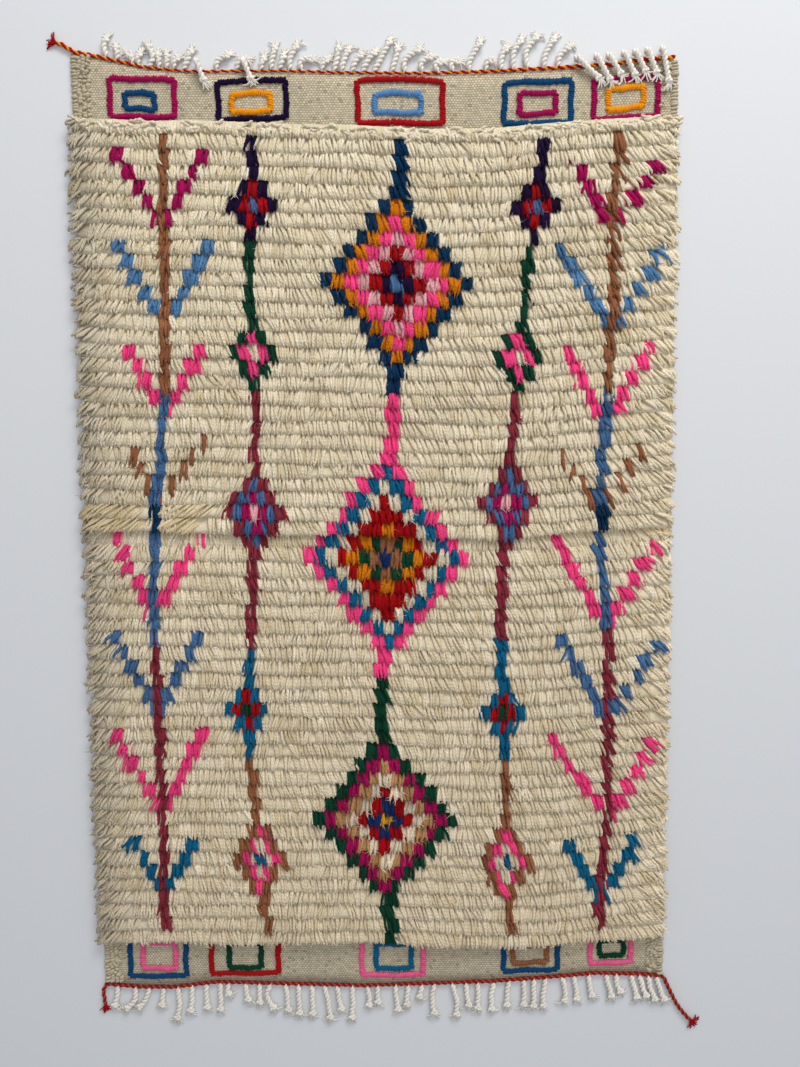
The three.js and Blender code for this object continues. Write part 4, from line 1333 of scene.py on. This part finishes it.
WRAP_SIZES = {"stitch_radius": 2.3 * MM, "half_width": 6.0 * MM, "rise": 2.2 * MM}
# The selvedge's lines of wrapped weft: how far inward, half a wrap's width and the pitch
WRAPS = ((4.5, 4.2, 5.2), (12.5, 2.3, 5.0), (19.5, 2.0, 5.4), (26.0, 1.8, 6.0))
OUTER_WRAP = 8.0


def make_rectangle(name, left, right, low, high, tilt, bow, dye, yarns):
    """One rectangle of thick yarn stitched onto a band."""
    skew = draw.normal(0, 0.7, 8)
    corners = [
        (left + skew[0], low + skew[1] - tilt / 2),
        (right + skew[2], low + skew[3] + tilt / 2),
        (right + skew[4], high + skew[5] + tilt / 2),
        (left + skew[6], high + skew[7] - tilt / 2),
    ]
    places, directions, girth = [], [], []
    for (ax, ay), (bx, by) in zip(corners, corners[1:] + corners[:1]):
        length = math.hypot(bx - ax, by - ay)
        count = int(length / STITCH_PITCH)
        way = np.array([bx - ax, by - ay]) / length
        side = np.array([-way[1], way[0]])
        for i in range(count):
            s = (i + 0.5) / count
            wander = 0.7 * math.sin(s * 9 + ax) + draw.normal(0, 0.35)
            if way[0] < -0.5:
                wander -= bow * math.sin(math.pi * s)
            spot = np.array([ax, ay]) + way * length * s + side * wander
            places.append([*spot, CLOTH_THICK + 0.4])
            directions.append([*(side + way * STITCH_SLANT + draw.normal(0, 0.06, 2)), 0.0])
            girth.append(draw.normal(1.0, 0.11))
    kept = {"across_line": directions, "girth": girth}
    return grown(name, STITCH_TREE, places, (), kept, material=yarns[dye], **STITCH_SIZES)


def make_selvedges(yarn):
    """Weft wrapped round the outermost warps: once all along each side, and again on the bands."""
    places, directions, girth = [], [], []
    for side in (-1, 1):
        upper = float(outline("upper_end", side * HALF_WIDTH)) - 3
        lower = float(outline("lower_end", side * HALF_WIDTH)) + 3
        top = outline("pile_top", side * 480) - 6
        foot = outline("pile_foot", side * 480) + 6
        share = 0.9 if side < 0 else 0.45
        for inward, half, pitch in WRAPS:
            inner = inward > OUTER_WRAP
            loose = 1.0 if inner else 0.5
            for along in np.arange(lower, upper, pitch):
                on_band = along > top or along < foot
                if inner and not (on_band and draw.random() < share):
                    continue
                across = side * (HALF_WIDTH - inward) + draw.normal(0, 1.3 * loose)
                places.append([across, along + draw.normal(0, 1.2 * loose), CLOTH_THICK - 0.8])
                directions.append([half / 6.0, draw.normal(0.1, 0.2) * loose, 0.0])
                girth.append(draw.normal(1.0 + 0.2 * loose, 0.18))
    kept = {"across_line": directions, "girth": girth}
    return grown("wrapped_selvedges", STITCH_TREE, places, (), kept, material=yarn, **WRAP_SIZES)


# ---------------------------------------------------------------- making it all

ground = make_ground()
pile = [make_bed(), *make_pile()]
warp_yarn = wool("warp_yarn", "off_white", streaks=0.14, fibre_length=6.0)
selvedges = make_selvedges(wool("selvedge_wool", "band", streaks=0.2))
fringe_upper = make_fringe("upper", 1, UPPER_FRINGE, FOLDED, warp_yarn)
fringe_lower = make_fringe("lower", -1, LOWER_FRINGE, [], warp_yarn)
cord_upper = make_cord("upper", 1, [((-512, 824), (-501, 820))])
lower_left, lower_right = (
    float(outline("lower_end", side * HALF_WIDTH)) - CORD_MIDDLE for side in (-1, 1)
)
lower_tufts = [
    ((541, lower_right - 82), (531, lower_right - 71)),
    ((-493, lower_left - 38), (-494, lower_left - 26)),
]
cord_lower = make_cord("lower", -1, lower_tufts)
stitch_yarns = {dye: wool("stitched_" + dye, dye, streaks=0.15) for *_, dye in RECTANGLES}
rectangles = [
    make_rectangle("stitched_" + name, *sides, stitch_yarns) for name, *sides in RECTANGLES
]

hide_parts("weave")
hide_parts("twined_cord_upper")
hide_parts("twined_cord_lower")
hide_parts("fringe_upper")
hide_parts("fringe_lower")
for piece, (name, *_) in zip(rectangles, RECTANGLES):
    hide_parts("rectangle_" + name)
upon_ground = [
    *pile, selvedges, cord_upper, cord_lower, fringe_upper, fringe_lower, *rectangles
]
everything = [ground, *upon_ground]
for piece in everything:
    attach(piece, BODY)

# ---------------------------------------------------------------- floor and light

FLOOR_HALF = 6.0
FLOOR_HEIGHT = -0.0005


def make_floor():
    sides = [(-1, -1), (1, -1), (1, 1), (-1, 1)]
    mesh = bpy.data.meshes.new("floor")
    corners = [(x * FLOOR_HALF, y * FLOOR_HALF, FLOOR_HEIGHT) for x, y in sides]
    mesh.from_pydata(corners, [], [(0, 1, 2, 3)])
    material, _, shader = new_material("pale_floor", 0.9, 0.0)
    shader.inputs["Base Color"].default_value = (0.68, 0.69, 0.7, 1.0)
    mesh.materials.append(material)
    placed("floor", mesh)


def area_light(name, place, aim, size, power, tint):
    lamp = bpy.data.lights.new(name, "AREA")
    lamp.shape = "RECTANGLE"
    lamp.size, lamp.size_y = size
    lamp.energy = power
    lamp.color = tint
    light = placed(name, lamp)
    light.location = place
    gaze = np.array(aim, dtype=float) - np.array(place, dtype=float)
    flat = math.hypot(gaze[0], gaze[1])
    light.rotation_euler = (math.atan2(flat, -gaze[2]), 0.0, math.atan2(-gaze[0], gaze[1]))


make_floor()
area_light("soft_key", (0.9, 3.1, 1.95), (0, -0.1, 0), (2.4, 1.2), 94.0, (1.0, 0.985, 0.96))
area_light("soft_fill", (0.5, 0.3, 3.2), (0, 0, 0), (3.0, 3.0), 31.0, (0.98, 0.99, 1.0))
world = bpy.data.worlds.new("pale_room")
world.use_nodes = True
backdrop = world.node_tree.nodes["Background"].inputs
backdrop["Color"].default_value = (0.9, 0.93, 1.0, 1.0)
backdrop["Strength"].default_value = 0.44
bpy.context.scene.world = world
bpy.context.scene.view_settings.view_transform = "Standard"
